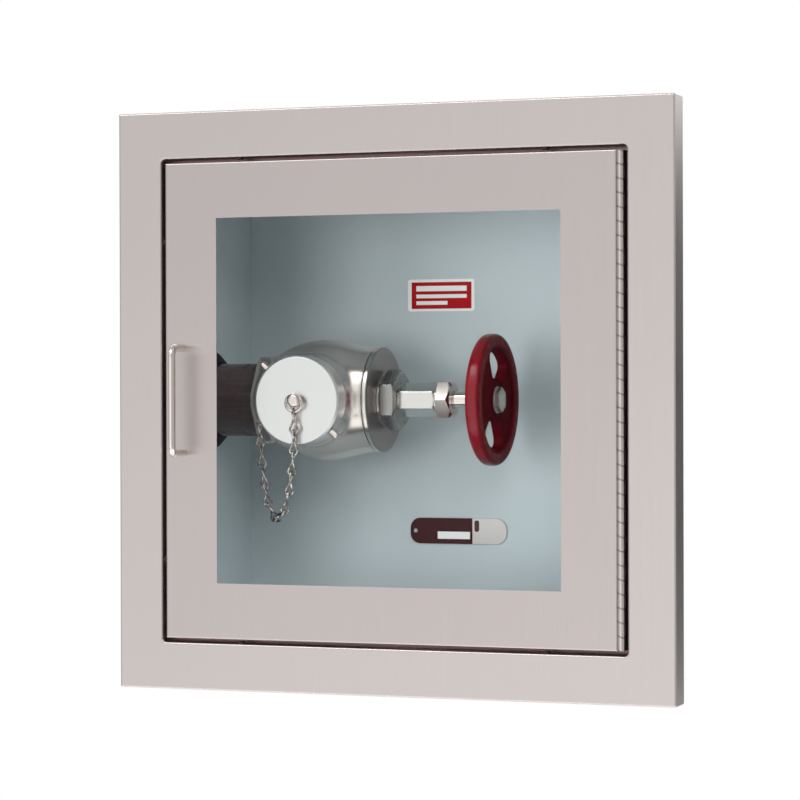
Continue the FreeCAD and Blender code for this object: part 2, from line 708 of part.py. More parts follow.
def valve_body():
    start = stem_point(-INLET_REACH)
    hub = hexagon(HUB_FLATS, start, X_DIR, HUB_LENGTH, V(0, 1, 0))
    corner = HUB_FLATS / math.sqrt(3)
    turned_hub = [(-INLET_REACH, 0), (-INLET_REACH, corner - 2.5), (-INLET_REACH + 3, corner - 0.4)]
    turned_hub += [(-INLET_REACH + HUB_LENGTH, corner - 0.4), (-INLET_REACH + HUB_LENGTH, 0)]
    hub = hub.common(on_stem(turned_hub))
    neck_end = NOZZLE_REACH - NOZZLE_THREAD_L
    flare = BARREL_BODY_R - NOZZLE_FLARE_H
    nozzle = on_outlet([(0, 0), (0, NOZZLE_FLARE_R), (flare, NOZZLE_FLARE_R), (neck_end - 2, NOZZLE_R),
                        (neck_end, NOZZLE_R), (neck_end, NOZZLE_THREAD_R),
                        (NOZZLE_REACH - 1.5, NOZZLE_THREAD_R), (NOZZLE_REACH, NOZZLE_THREAD_R - 1.5),
                        (NOZZLE_REACH, 0)])
    ear = ring(ear_centre(), EAR_DIR.cross(X_DIR), EAR_RING_R, EAR_WIRE_R)
    body = barrel_solid().fuse([hub, nozzle, ear])
    return body.cut([valve_waterway(), rod(NOZZLE_BORE_R, outlet_point(0), FRONT_DIR, NOZZLE_REACH)])


def valve_waterway():
    pipe_end = -INLET_REACH + PIPE_ENGAGED
    thread_r = PIPE_R - PIPE_THREAD_CUT + FIT_CLEARANCE
    floor = SEAT_AT - SEAT_LIP_H
    points = [(-INLET_REACH, 0), (-INLET_REACH, thread_r), (pipe_end, thread_r), (pipe_end, SEAT_BORE_R)]
    points += [(SEAT_AT, SEAT_BORE_R), (SEAT_AT, SEAT_LIP_R), (floor, SEAT_LIP_R), (floor, CHAMBER_R)]
    points += [(CHAMBER_END, CHAMBER_R), (CHAMBER_END + 6, BONNET_BORE_R), (COLLAR_END, BONNET_BORE_R)]
    points += [(COLLAR_END, 0)]
    return on_stem(points)


def chamfered_hexagon(flats, start, end):
    """A hexagon along the stem with flats to the front and its corners turned off at both ends."""
    corner = flats / math.sqrt(3)
    cut = corner - HEX_CHAMFER_CUT
    blank = on_stem([(start, 0), (start, cut), (start + HEX_CHAMFER, corner), (end - HEX_CHAMFER, corner),
                     (end, cut), (end, 0)])
    return hexagon(flats, stem_point(start), X_DIR, end - start, Z_DIR).common(blank)


def bonnet():
    spigot = BONNET_AT - BONNET_SPIGOT
    flange_end = BONNET_AT + BONNET_FLANGE_T
    bore = STEM_R + STEM_CLEARANCE
    thread_end = STUFFING_END + STUFFING_THREAD_L
    spigot_r = BONNET_BORE_R - FIT_CLEARANCE
    body = on_stem([(spigot, 0), (spigot, spigot_r), (BONNET_AT, spigot_r),
                    (BONNET_AT, BONNET_FLANGE_R), (flange_end - 1.2, BONNET_FLANGE_R),
                    (flange_end, BONNET_FLANGE_R - 1.2), (flange_end, BONNET_NECK_R),
                    (STUFFING_AT, BONNET_NECK_R), (STUFFING_AT, STUFFING_THREAD_R),
                    (thread_end, STUFFING_THREAD_R), (thread_end, 0)])
    wrench = chamfered_hexagon(BONNET_HEX_FLATS, HEX_AT, STUFFING_AT)
    neck = chamfered_hexagon(STUFFING_FLATS, STUFFING_AT, STUFFING_END)
    body = fuse(body, [wrench, neck])
    bores = on_stem([(spigot, 0), (spigot, bore), (PACKING_AT, bore), (PACKING_AT, STUFFING_BORE_R),
                     (thread_end, STUFFING_BORE_R), (thread_end, 0)])
    return body.cut(bores)


def bonnet_gasket():
    return tube(COLLAR_R, BONNET_BORE_R, stem_point(COLLAR_END), X_DIR, BONNET_GASKET_T)


def packing_rings():
    outer = STUFFING_BORE_R - FIT_CLEARANCE
    step = PACKING_L / 3
    rings = [tube(outer, STEM_R + STEM_CLEARANCE, stem_point(PACKING_AT + i * step), X_DIR, step - 0.2)
             for i in range(3)]
    return Part.makeCompound(rings)


def packing_gland():
    outer = STUFFING_BORE_R - FIT_CLEARANCE
    return tube(outer, STEM_R + STEM_CLEARANCE, stem_point(PACKING_END), X_DIR, GLAND_L)


def packing_nut():
    nut = hexagon(PACKING_NUT_FLATS, stem_point(PACKING_NUT_AT), X_DIR, PACKING_NUT_L, V(0, 1, 0))
    corner = PACKING_NUT_FLATS / math.sqrt(3)
    nut = nut.common(on_stem([(PACKING_NUT_AT, 0), (PACKING_NUT_AT, corner), (PACKING_NUT_END - 2.5, corner),
                              (PACKING_NUT_END, corner - 4.5), (PACKING_NUT_END, 0)]))
    start = stem_point(PACKING_NUT_AT)
    thread = rod(STUFFING_THREAD_R + FIT_CLEARANCE, start, X_DIR, GLAND_END - PACKING_NUT_AT)
    return nut.cut([thread, rod(STEM_R + STEM_CLEARANCE, start, X_DIR, PACKING_NUT_L)])


def valve_stem():
    button = BUTTON_AT + STEM_CLEARANCE
    button_end = button + STEM_BUTTON_L
    neck_end = RETAINER_END + 2
    tip = WHEEL_NUT_AT + WHEEL_NUT_L + STEM_TIP_OUT
    points = [(button, 0), (button, STEM_BUTTON_R), (button_end, STEM_BUTTON_R), (button_end, STEM_NECK_R)]
    points += [(neck_end, STEM_NECK_R), (neck_end, STEM_R), (WHEEL_HUB_AT, STEM_R)]
    points += [(WHEEL_HUB_AT, STEM_SEAT_R), (WHEEL_HUB_END, STEM_SEAT_R), (WHEEL_HUB_END, STEM_TIP_R)]
    points += [(tip - 1, STEM_TIP_R), (tip, STEM_TIP_R - 1), (tip, 0)]
    return on_stem(points)


def disc_holder():
    flange_end = HOLDER_AT + DISC_HOLDER_FLANGE
    cavity = STEM_BUTTON_R + STEM_CLEARANCE
    points = [(HOLDER_AT, DISC_SCREW_R + FIT_CLEARANCE), (HOLDER_AT, DISC_R), (flange_end, DISC_R)]
    points += [(flange_end, DISC_HOLDER_R), (RETAINER_AT, DISC_HOLDER_R), (RETAINER_AT, cavity)]
    points += [(BUTTON_AT, cavity), (BUTTON_AT, DISC_SCREW_R + FIT_CLEARANCE)]
    return on_stem(points)


def disc_retainer():
    nut = hexagon(DISC_RETAINER_FLATS, stem_point(RETAINER_AT), X_DIR, DISC_RETAINER_L, Z_DIR)
    return nut.cut(rod(STEM_NECK_R + STEM_CLEARANCE, stem_point(RETAINER_AT), X_DIR, DISC_RETAINER_L))


def rubber_disc():
    return tube(DISC_R, DISC_SCREW_R + FIT_CLEARANCE, stem_point(DISC_AT), X_DIR, DISC_T)


def disc_screw():
    shank = rod(DISC_SCREW_R, stem_point(DISC_AT), X_DIR, BUTTON_AT - DISC_AT)
    washer = rod(DISC_WASHER_R, stem_point(DISC_AT - 2), X_DIR, 2)
    head = hexagon(DISC_SCREW_R * 3.2, stem_point(DISC_AT - 7), X_DIR, 5, Z_DIR)
    return fuse(shank, [washer, head])


def wheel_opening(turn):
    """A rounded sector between two spokes."""
    x0 = WHEEL_AT - WHEEL_RIM_W
    corners = [(x0, WHEEL_OPENING_INNER), (x0, WHEEL_OPENING_OUTER)]
    corners += [(x0 + 2 * WHEEL_RIM_W, WHEEL_OPENING_OUTER), (x0 + 2 * WHEEL_RIM_W, WHEEL_OPENING_INNER)]
    points = [stem_point(a, r) for a, r in corners]
    section = Part.Face(Part.makePolygon(points + points[:1]))
    sector = section.revolve(stem_point(0), X_DIR, WHEEL_OPENING_ANGLE)
    edges = [e for e in sector.Edges if abs(e.Vertexes[0].X - e.Vertexes[-1].X) > WHEEL_RIM_W]
    sector = sector.makeFillet(WHEEL_OPENING_ROUND, edges)
    sector.rotate(stem_point(0), X_DIR, turn - WHEEL_OPENING_ANGLE / 2)
    return sector


def handwheel():
    half = WHEEL_RIM_W / 2
    inner = WHEEL_R - WHEEL_RIM_T
    rim = tube(WHEEL_R, inner, stem_point(WHEEL_AT - half), X_DIR, WHEEL_RIM_W)
    rim = rim.makeFillet(WHEEL_RIM_ROUND, [e for e in rim.Edges if e.Curve.TypeId == "Part::GeomCircle"])
    web = rod(inner + 2, stem_point(WHEEL_AT + WHEEL_WEB_OUT - WHEEL_WEB_T), X_DIR, WHEEL_WEB_T)
    step = 360 / WHEEL_OPENINGS
    web = web.cut([wheel_opening(step * i + WHEEL_OPENING_TURN) for i in range(WHEEL_OPENINGS)])
    hub = rod(WHEEL_HUB_R, stem_point(WHEEL_HUB_AT), X_DIR, WHEEL_HUB_L)
    wheel = fuse(rim, [web, hub])
    cuts = [rod(STEM_SEAT_R + FIT_CLEARANCE, stem_point(WHEEL_HUB_AT), X_DIR, WHEEL_HUB_L)]
    crest = stem_point(WHEEL_AT + half + WHEEL_NOTCH_R - WHEEL_NOTCH_CUT, inner - 1)
    for i in range(WHEEL_NOTCHES):
        cutter = rod(WHEEL_NOTCH_R, crest, Z_DIR, WHEEL_RIM_T + 2)
        cutter.rotate(stem_point(0), X_DIR, 360 * i / WHEEL_NOTCHES)
        cuts.append(cutter)
    return wheel.cut(cuts)


def wheel_washer():
    return tube(WHEEL_WASHER_R, STEM_TIP_R + FIT_CLEARANCE, stem_point(WHEEL_HUB_END), X_DIR, WHEEL_WASHER_T)


def wheel_nut():
    nut = hexagon(WHEEL_NUT_FLATS, stem_point(WHEEL_NUT_AT), X_DIR, WHEEL_NUT_L, Z_DIR)
    return nut.cut(rod(STEM_TIP_R + FIT_CLEARANCE, stem_point(WHEEL_NUT_AT), X_DIR, WHEEL_NUT_L))


def lug_direction(sign):
    angle = math.radians(LUG_ANGLE)
    return V(math.cos(angle), 0, math.sin(angle)) * sign


def lug_start():
    return outlet_point(CAP_REACH - CAP_RIM / 2)


def outlet_cap():
    recess = NOZZLE_THREAD_R + CAP_THREAD_CLEARANCE
    rim = CAP_REACH - CAP_RIM
    bore = EYE_SHANK_R + EYE_CLEARANCE
    cap = on_outlet([(rim, recess), (rim, CAP_R), (CAP_REACH - CAP_EDGE, CAP_R),
                     (CAP_REACH, CAP_R - CAP_EDGE), (CAP_REACH, bore), (CAP_INNER, bore),
                     (CAP_INNER, recess)])
    holes = []
    for sign in (-1, 1):
        out = lug_direction(sign)
        start = lug_start() + out * (CAP_R - LUG_BURIED)
        holes.append(rod(LUG_R * 0.6 + FIT_CLEARANCE, start, out, LUG_R * 2))
    return cap.cut(holes)


def cap_gasket():
    outer = NOZZLE_THREAD_R - 0.2
    return tube(outer, NOZZLE_BORE_R - 1, outlet_point(CAP_INNER - CAP_GASKET_T), FRONT_DIR, CAP_GASKET_T)


def cap_lugs():
    lugs = []
    for sign in (-1, 1):
        out = lug_direction(sign)
        base = lug_start() + out * (CAP_R + 0.5)
        pin = rod(LUG_R, base, out, LUG_OUT)
        far = [e for e in pin.Edges if (e.CenterOfMass - base).dot(out) > LUG_OUT - 0.1]
        pin = pin.makeFillet(LUG_R * 0.5, far)
        root = rod(LUG_R * 0.6, lug_start() + out * (CAP_R - LUG_BURIED), out, LUG_BURIED + 1)
        lugs.append(fuse(pin, [root]))
    return Part.makeCompound(lugs)


def eye_centre():
    return outlet_point(EYE_AT, 0, -EYE_RING_DROP)


def cap_eye():
    """A domed stud with a wire loop held round its head."""
    loop = ring(eye_centre(), FRONT_DIR, EYE_RING_R, EYE_WIRE_R)
    tail = CAP_INNER - EYE_NUT_T - 1.5
    shank = rod(EYE_SHANK_R, outlet_point(tail), FRONT_DIR, EYE_AT - tail)
    button = CAP_REACH + EYE_CLEARANCE
    neck = rod(EYE_NECK_R, outlet_point(button), FRONT_DIR, EYE_AT - button)
    under = outlet_point(EYE_AT - EYE_HEAD_H * 0.2)
    head = rod(EYE_HEAD_R, under, FRONT_DIR, EYE_HEAD_H)
    far = [e for e in head.Edges if (e.CenterOfMass - under).dot(FRONT_DIR) > EYE_HEAD_H - 0.1]
    head = head.makeFillet(EYE_HEAD_H * 0.75, far)
    return fuse(loop, [shank, neck, head])


def eye_nut():
    start = CAP_INNER - EYE_CLEARANCE - EYE_NUT_T
    nut = hexagon(EYE_NUT_FLATS, outlet_point(start), FRONT_DIR, EYE_NUT_T, Z_DIR)
    return nut.cut(rod(EYE_SHANK_R + 0.05, outlet_point(start), FRONT_DIR, EYE_NUT_T))


def chain_ends():
    """Where the first loop leaves the swivel eye and the last one leaves the ear."""
    hang = EYE_RING_R - EYE_WIRE_R + CHAIN_LOOP_R - CHAIN_WIRE_R - CHAIN_SLACK / 2
    start = eye_centre() + V(0, 0, CHAIN_LINKED / 2 - hang)
    hang = CHAIN_LOOP_R - CHAIN_WIRE_R - EAR_WIRE_R - CHAIN_SLACK / 2
    end = ear_centre() + EAR_DIR * EAR_RING_R + V(0, 0, CHAIN_LINKED / 2 - hang)
    return start, end


def chain_curve():
    """Points of the hanging chain: straight past the cap's edge, then a free loop up to the ear."""
    start, end = chain_ends()
    turn = V(start.x, start.y, -CHAIN_STRAIGHT)
    flat = V(end.x - turn.x, end.y - turn.y, 0)
    low, high = 0.5, 500.0
    right = left = 0.0
    for _ in range(60):
        c = (low + high) / 2
        right = c * math.acosh(1 + (turn.z + CHAIN_DROP) / c)
        left = c * math.acosh(1 + (end.z + CHAIN_DROP) / c)
        low, high = (low, c) if right + left > flat.Length else (c, high)
    points = [start + (turn - start) * (i / 100) for i in range(100)]
    for i in range(401):
        along = (right + left) * i / 400
        z = c * (math.cosh((along - right) / c) - 1) - CHAIN_DROP
        points.append(V(turn.x, turn.y, 0) + flat * (along / flat.Length) + V(0, 0, z))
    return points


def walk(points, chord):
    """Joints at equal straight distances along the curve."""
    joints = [points[0]]
    for i in range(1, len(points)):
        while (points[i] - joints[-1]).Length >= chord:
            low, high = 0.0, 1.0
            for _ in range(30):
                mid = (low + high) / 2
                probe = points[i - 1] + (points[i] - points[i - 1]) * mid
                low, high = (low, mid) if (probe - joints[-1]).Length > chord else (mid, high)
            joints.append(points[i - 1] + (points[i] - points[i - 1]) * high)
    return joints


def chain_joints():
    points = chain_curve()
    length = sum((points[i + 1] - points[i]).Length for i in range(len(points) - 1))
    count = max(CHAIN_LEFT_LINKS + 2, round(length / CHAIN_PITCH))
    low, high = length / count * 0.5, length / count * 1.05
    for _ in range(40):
        chord = (low + high) / 2
        low, high = (chord, high) if len(walk(points, chord)) > count else (low, chord)
    joints = walk(points, low)
    return joints[:count] + [points[-1]]


def chain_link(chord):
    """One link along X with its two loops square to each other."""
    first = CHAIN_LINKED / 2
    last = chord - CHAIN_LINKED / 2
    shank = rod(CHAIN_WIRE_R * 0.8, V(first + CHAIN_LOOP_R, 0, 0), X_DIR, last - first - 2 * CHAIN_LOOP_R)
    loops = [ring(V(first, 0, 0), V(0, 1, 0), CHAIN_LOOP_R, CHAIN_WIRE_R)]
    loops.append(ring(V(last, 0, 0), V(0, 0, 1), CHAIN_LOOP_R, CHAIN_WIRE_R))
    return fuse(shank, loops)


def placed_links(joints):
    """Equal links from joint to joint, their loops at 45 degrees to the hanging plane."""
    link = chain_link((joints[1] - joints[0]).Length)
    start, end = chain_ends()
    across = V(end.x - start.x, end.y - start.y, 0).normalize().cross(Z_DIR)
    links = []
    for i in range(len(joints) - 1):
        along = (joints[i + 1] - joints[i]).normalize()
        first = (across - across.cross(along)).normalize()
        turn = FreeCAD.Rotation(along, first, along.cross(first), "XYZ")
        placed = link.copy()
        placed.Placement = FreeCAD.Placement(joints[i], turn)
        links.append(placed)
    return Part.makeCompound(links)


def chain_right():
    return placed_links(chain_joints()[:-CHAIN_LEFT_LINKS])


def chain_left():
    """The links that swing from the ear, let down a little at the loop where the chain is parted."""
    joints = chain_joints()[-CHAIN_LEFT_LINKS - 1:]
    end = joints[-1]
    grow = 1 + CHAIN_PARTED_SLACK / (joints[0] - end).Length
    return placed_links([end + (joint - end) * grow for joint in joints])


def wall_label():
    label = plate(0, LABEL_W / 2, LABEL_H / 2, WALL_Y - LABEL_T, WALL_Y, LABEL_CORNER)
    label.translate(V(LABEL_X, 0, LABEL_Z))
    return label


def tag_body():
    half = TAG_H / 2
    body = box(TAG_X, TAG_X + TAG_SPLIT, WALL_Y - TAG_T, WALL_Y, TAG_Z - half, TAG_Z + half)
    edges = [e for e in body.Edges if e.BoundBox.YLength > TAG_T / 2 and e.BoundBox.XMax < TAG_X + 1]
    body = body.makeFillet(TAG_ROUND, edges)
    return body.cut(rod(TAG_HOLE_R, V(TAG_X + TAG_HOLE_INSET, WALL_Y, TAG_Z), FRONT_DIR, TAG_T))


def tag_end_plate():
    half = TAG_H / 2
    x0 = TAG_X + TAG_SPLIT
    x1 = TAG_X + TAG_LENGTH
    end = box(x0, x1, WALL_Y - TAG_T, WALL_Y, TAG_Z - half, TAG_Z + half)
    edges = [e for e in end.Edges if e.BoundBox.YLength > TAG_T / 2 and e.BoundBox.XMin > x1 - 1]
    return end.makeFillet(TAG_END_ROUND, edges)


def tag_strip():
    x1 = TAG_X + TAG_SPLIT - 2.5
    y1 = WALL_Y - TAG_T
    z = TAG_Z - TAG_STRIP_DROP
    half = TAG_STRIP_H / 2
    return box(x1 - TAG_STRIP_L, x1, y1 - TAG_STRIP_T, y1, z - half, z + half)


def pieces():
    return {
        "tub": tub(),
        "trim_frame": trim_frame(),
        "jamb_screws": jamb_screws(),
        "door_panel": door_panel(),
        "glazing_pane": glazing_pane(),
        "glazing_gasket": glazing_gasket(),
        "glazing_retainer_top": retainer_across(1),
        "glazing_retainer_bottom": retainer_across(-1),
        "glazing_retainer_right": retainer_upright(1),
        "glazing_retainer_left": retainer_upright(-1),
        "retainer_nuts": retainer_nuts(),
        "pull_handle": pull_handle(),
        "pull_screws": pull_screws(),
        "hinge_door_leaf": hinge_door_leaf(),
        "hinge_frame_leaf": hinge_frame_leaf(),
        "hinge_pin": hinge_pin(),
        "hinge_strip": hinge_strip(),
        "hinge_frame_rivets": hinge_frame_rivets(),
        "hinge_door_rivets": hinge_door_rivets(),
        "catch_magnet": catch_magnet(),
        "strike_plate": strike_plate(),
        "door_bumpers": door_bumpers(),
        "supply_pipe": supply_pipe(),
        "pipe_grommet": pipe_grommet(),
        "valve_body": valve_body(),
        "bonnet": bonnet(),
        "bonnet_gasket": bonnet_gasket(),
        "packing_rings": packing_rings(),
        "packing_gland": packing_gland(),
        "packing_nut": packing_nut(),
        "valve_stem": valve_stem(),
        "disc_holder": disc_holder(),
        "disc_retainer": disc_retainer(),
        "rubber_disc": rubber_disc(),
        "disc_screw": disc_screw(),
        "handwheel": handwheel(),
        "wheel_washer": wheel_washer(),
        "wheel_nut": wheel_nut(),
        "outlet_cap": outlet_cap(),
        "cap_gasket": cap_gasket(),
        "cap_lugs": cap_lugs(),
        "cap_eye": cap_eye(),
        "eye_nut": eye_nut(),
        "chain_right": chain_right(),
        "chain_left": chain_left(),
        "wall_label": wall_label(),
        "tag_body": tag_body(),
        "tag_end_plate": tag_end_plate(),
        "tag_strip": tag_strip(),
    }


os.makedirs("parts", exist_ok=True)
for name, shape in pieces().items():
    shape.exportStep("parts/" + name + ".step")
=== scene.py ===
import math

import bmesh
import bpy
from bpy.props import FloatProperty, FloatVectorProperty, IntProperty, PointerProperty
from mathutils import Matrix, Vector


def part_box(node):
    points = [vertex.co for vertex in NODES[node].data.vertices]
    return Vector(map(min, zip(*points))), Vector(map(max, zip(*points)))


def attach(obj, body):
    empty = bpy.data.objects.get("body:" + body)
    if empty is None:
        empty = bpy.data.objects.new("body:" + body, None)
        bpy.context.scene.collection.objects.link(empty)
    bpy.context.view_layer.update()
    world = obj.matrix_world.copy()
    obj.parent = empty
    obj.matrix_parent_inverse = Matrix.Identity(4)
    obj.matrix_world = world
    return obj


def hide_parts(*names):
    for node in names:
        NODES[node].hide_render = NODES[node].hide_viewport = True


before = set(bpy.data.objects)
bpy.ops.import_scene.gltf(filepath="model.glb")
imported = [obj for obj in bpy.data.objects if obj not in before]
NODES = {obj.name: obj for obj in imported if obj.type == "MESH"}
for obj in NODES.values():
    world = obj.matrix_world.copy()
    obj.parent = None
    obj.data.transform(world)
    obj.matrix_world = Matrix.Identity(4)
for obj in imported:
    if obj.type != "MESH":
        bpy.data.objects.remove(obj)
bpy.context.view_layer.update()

bl_info = {
    "name": "Landing valve cabinet",
    "version": (1, 0, 0),
    "blender": (4, 5, 0),
    "location": "3D View > Sidebar > Cabinet",
    "description": "Finishes, chain, threads and studio for a glazed landing valve cabinet",
    "category": "Object",
}

HINGE_NODES = ("hinge_frame_leaf", "hinge_door_leaf", "hinge_pin")
HARDWARE_NODES = (
    "hinge_frame_rivets", "hinge_door_rivets", "glazing_retainer_top",
    "glazing_retainer_bottom", "glazing_retainer_left", "glazing_retainer_right",
    "retainer_nuts", "pull_screws", "strike_plate", "disc_screw", "wheel_washer",
    "wheel_nut", "eye_nut",
)
RUBBER_NODES = (
    "glazing_gasket", "door_bumpers", "pipe_grommet", "bonnet_gasket", "packing_rings",
    "rubber_disc", "cap_gasket",
)
TURNED_CHROME_NODES = ("packing_nut", "cap_lugs", "cap_eye")
BRASS_NODES = ("packing_gland", "disc_holder", "disc_retainer")

# Width of the trim's flat face, in metres
TRIM_FACE = 0.0454
# Painted shade inside the jamb: its reach past the opening, its start behind the trim's front and its fade,
# in metres
JAMB_PAST = 0.0012
JAMB_START = 0.0025
JAMB_FADE = 0.0015

# Length of one knuckle of the hinge with its gap, in metres, and the slope of the painted shade line at a
# joint
KNUCKLE_PITCH = 0.0131
KNUCKLE_SLANT = 0.4
# Where the painted shade lies round a joint, as shares of the pitch, with its soft edge and its strength
KNUCKLE_SHADE = (0.44, 0.56, 0.035)
KNUCKLE_SHADE_SHARE = 0.5
# Depths behind the pin's axis between which the gap turns dark with painted shade, in metres
HINGE_DARK = (0.0004, 0.0018)

# Thickness of the bonnet's flange with its gasket, in metres
BONNET_FLANGE = 0.006
# Place of the bonnet's hexagon beyond the flange, and its length, in metres
BONNET_HEX_AT = 0.0036
BONNET_HEX_L = 0.0146
# Reach of the dull finish and its painted shade before and past the flange's face and the hexagon, and its
# soft edge, in metres
FLANGE_DULL_AND_SHADE = (0.0012, 0.0008, 0.0004)
HEX_DULL_AND_SHADE = (0.0008, 0.0004, 0.0005)

# Width of the wheel's glossy rim, and half the width of its edge towards the web, which has painted shade, in
# metres
RIM_WIDTH = 0.0125
RIM_FADE = 0.002

# Slopes of the wheel's surface towards its outer face between which the gloss fades and painted shade comes
# in, and the share of the rim's gloss and colour left there
FACE_SLOPE = (0.2, 0.75)
FACE_RIM_SHARE = 0.45

# Tint of the pane, and the refractive index that sets how strong its gloss is
PANE_TINT = (0.985, 0.992, 0.99)
PANE_INDEX = 1.12
# Linear colour of the catch's case
CATCH_BLACK = (0.014, 0.014, 0.015)

# Where the pipe's threads start and end, from its outer end and from the valve's hub, in metres
WALL_THREAD = (0.0008, 0.0245)
VALVE_THREAD = (-0.0185, 0.001)
# Start and end of a thread's flat crest, as shares of the pitch
THREAD_CREST = (0.42, 0.58)
# Distance under which two points of a ridge are one, in metres
RIDGE_MERGE = 1e-6

# Margins of the label's red field at its left, right, foot and head, in metres
LABEL_MARGINS = (0.004, 0.0034, 0.0025, 0.003)
# White rules on the field, as shares of its size: left end, right end, lower edge and thickness
LABEL_RULES = ((0.08, 0.92, 0.66, 0.2), (0.08, 0.92, 0.4, 0.14), (0.08, 0.6, 0.15, 0.14))
# Dark window of the tag's metal end, as shares of its size: left, right, foot and head
TAG_WINDOW = (0.06, 0.2, 0.48, 0.92)
# Corner radius of that window, as a share of the end's width
TAG_WINDOW_CORNER = 0.06

# Ends of the hanging chain at the swivel eye and at the ear, in the row frame, in millimetres
CHAIN_START = (-110.0, -188.0, -9.7)
CHAIN_END = (-167.0, -139.78, -23.5)
# Heights at which the chain leaves the cap's face and at which it hangs lowest, in millimetres
CHAIN_LEAVES = -48.0
CHAIN_LOWEST = -117.0
# Links in the whole chain, and steps in which each part of its line is worked out
CHAIN_LINKS = 11
CHAIN_STEPS = 400
# Links that hang on the ear, and how far their free end is stretched past its joint, in millimetres
CHAIN_TAIL_LINKS = 3
CHAIN_TAIL_DROP = 2.0
# A wire's curve runs inside its points, so they lie on a loop that is larger by this factor
LOOP_OVERSIZE = 1.06
# Distance of a link's two crossing strands from its middle along each axis, as a share of the wire's radius
STRAND_PART = 0.78
# Start, end and step of the points round a link's eye, in degrees
EYE_ANGLES = (55, 306, 25)

# Floor and wall of the stage, in metres, with the floor's linear colour and the sides of its round edge
FLOOR_COLOUR = (0.9, 0.9, 0.9)
FLOOR_SIDES = 96
FLOOR_LEVEL = -0.62
FLOOR_RADIUS = 1.35
FLOOR_FADE = (0.7, 1.3)
WALL_HALVES = (0.26, 0.6)
WALL_GAP = 0.0005

# Point that the lamps face, in metres
LAMP_AIM = (0.0, -0.11, 0.0)
# Lamps: level, azimuth and elevation in degrees, distance and size in metres
LAMPS = {
    "lamp_front": ("front", -10, 0, 2.9, 1.1),
    "lamp_side": ("side", -46, 0, 2.4, 1.4),
    "lamp_right": ("right", 38, 30, 2.6, 1.6),
    "lamp_top": ("top", 20, 78, 2.2, 1.4),
    "lamp_rear_left": ("rear", 215, 25, 2.6, 1.4),
    "lamp_rear_right": ("rear", 145, 25, 2.6, 1.4),
}

# Brightness that metal mirrors where no panel is, and the least that is left anywhere
PANEL_BASE = 0.5
PANEL_LEAST = 0.02
# Panels: azimuth, elevation, inner and outer angle in degrees, brightness added, width over height
PANELS = (
    (-8, -16, 4, 40, 0.68, 1.0),
    (-33, 50, 7, 15, 4.2, 1.0),
    (10, 46, 8, 24, 0.9, 1.0),
    (180, 0, 60, 100, 0.36, 1.0),
    (-20, 30, 6, 27, 0.55, 1.0),
    (165, -0.5, 46, 62, -1.75, 13.0),
    (165, 16, 14, 32, 1.3, 3.0),
    (165, -16, 14, 32, 1.1, 3.0),
)

# Camera: place in metres, turns about Z, X and Y in degrees, lens and sensor width in millimetres
CAMERA_PLACE = (0.9457, -2.7363, 0.0158)
CAMERA_TURNS = (20.367, -0.325, 0.157)
CAMERA_LENS = 128.31
CAMERA_SENSOR = 36.0


def linear(red, green, blue):
    """A colour written as it looks on screen, 0 to 255, in the linear values that shaders take."""
    shares = [value / 255 for value in (red, green, blue)]
    return tuple(s / 12.92 if s <= 0.04045 else ((s + 0.055) / 1.055) ** 2.4 for s in shares)


def colour_prop(name, description, shown):
    return FloatVectorProperty(name=name, description=description, default=linear(*shown),
                               subtype="COLOR", size=3, min=0.0, max=1.0)


def size_prop(name, description, millimetres):
    return FloatProperty(name=name, description=description, default=millimetres / 1000,
                         unit="LENGTH", subtype="DISTANCE", precision=5, min=0.0)


def power_prop(name, description, watts):
    return FloatProperty(name=name, description=description, default=watts, min=0.0, unit="POWER")


class CabinetColours(bpy.types.PropertyGroup):
    """Colours of the cabinet's finishes."""

    trim: colour_prop("Trim steel", "Sheet of the trim", (214, 206, 203))
    # Painted shade: a darker steel colour inside the jamb
    jamb: colour_prop("Jamb shade", "Steel inside the jamb", (150, 124, 124))
    door: colour_prop("Door steel", "Sheet of the door", (206, 197, 195))
    hinge: colour_prop("Hinge steel", "Knuckles and leaves", (222, 214, 211))
    # Painted shade: a darker colour at the knuckles' joints and deep in the hinge's gap
    painted_hinge_shade: colour_prop("Hinge oil", "Oil at the knuckles' joints", (104, 82, 84))
    # Painted shade: the strip behind the hinge and the jamb's screws are coloured dark for the shade in the
    # gap
    strip: colour_prop("Strip steel", "Oiled strip behind the hinge", (62, 46, 48))
    paint: colour_prop("Tub paint", "Baked enamel inside the tub", (196, 206, 209))
    chrome: colour_prop("Chrome", "Plating of the valve", (232, 222, 216))
    bonnet: colour_prop("Bonnet chrome", "Plating of the bonnet's neck", (226, 223, 220))
    # Partly painted shade: the darker hexagon and flange face stand in for the darker things they mirror, as
    # well as for a duller finish
    hexagon: colour_prop("Hexagon", "Dull plating of the bonnet's hexagon", (172, 170, 167))
    flange: colour_prop("Flange face", "Rough face of the bonnet's flange", (168, 158, 155))
    cap: colour_prop("Cap plating", "Plating of the outlet cap", (236, 235, 234))
    brass: colour_prop("Brass", "Turned brass inside the valve", (205, 170, 104))
    pipe: colour_prop("Pipe black", "Finish of the supply pipe", (76, 62, 62))
    rubber: colour_prop("Rubber", "Grommet, gaskets and bumpers", (24, 22, 22))
    wheel: colour_prop("Wheel red", "Enamel of the handwheel", (126, 14, 28))
    label_red: colour_prop("Label red", "Printed field of the label", (178, 10, 22))
    label_white: colour_prop("Label white", "Ground and rules of the label", (250, 250, 248))
    tag_red: colour_prop("Tag red", "Dark part of the tag", (66, 26, 30))
    tag_metal: colour_prop("Tag metal", "Metal end of the tag", (232, 228, 226))


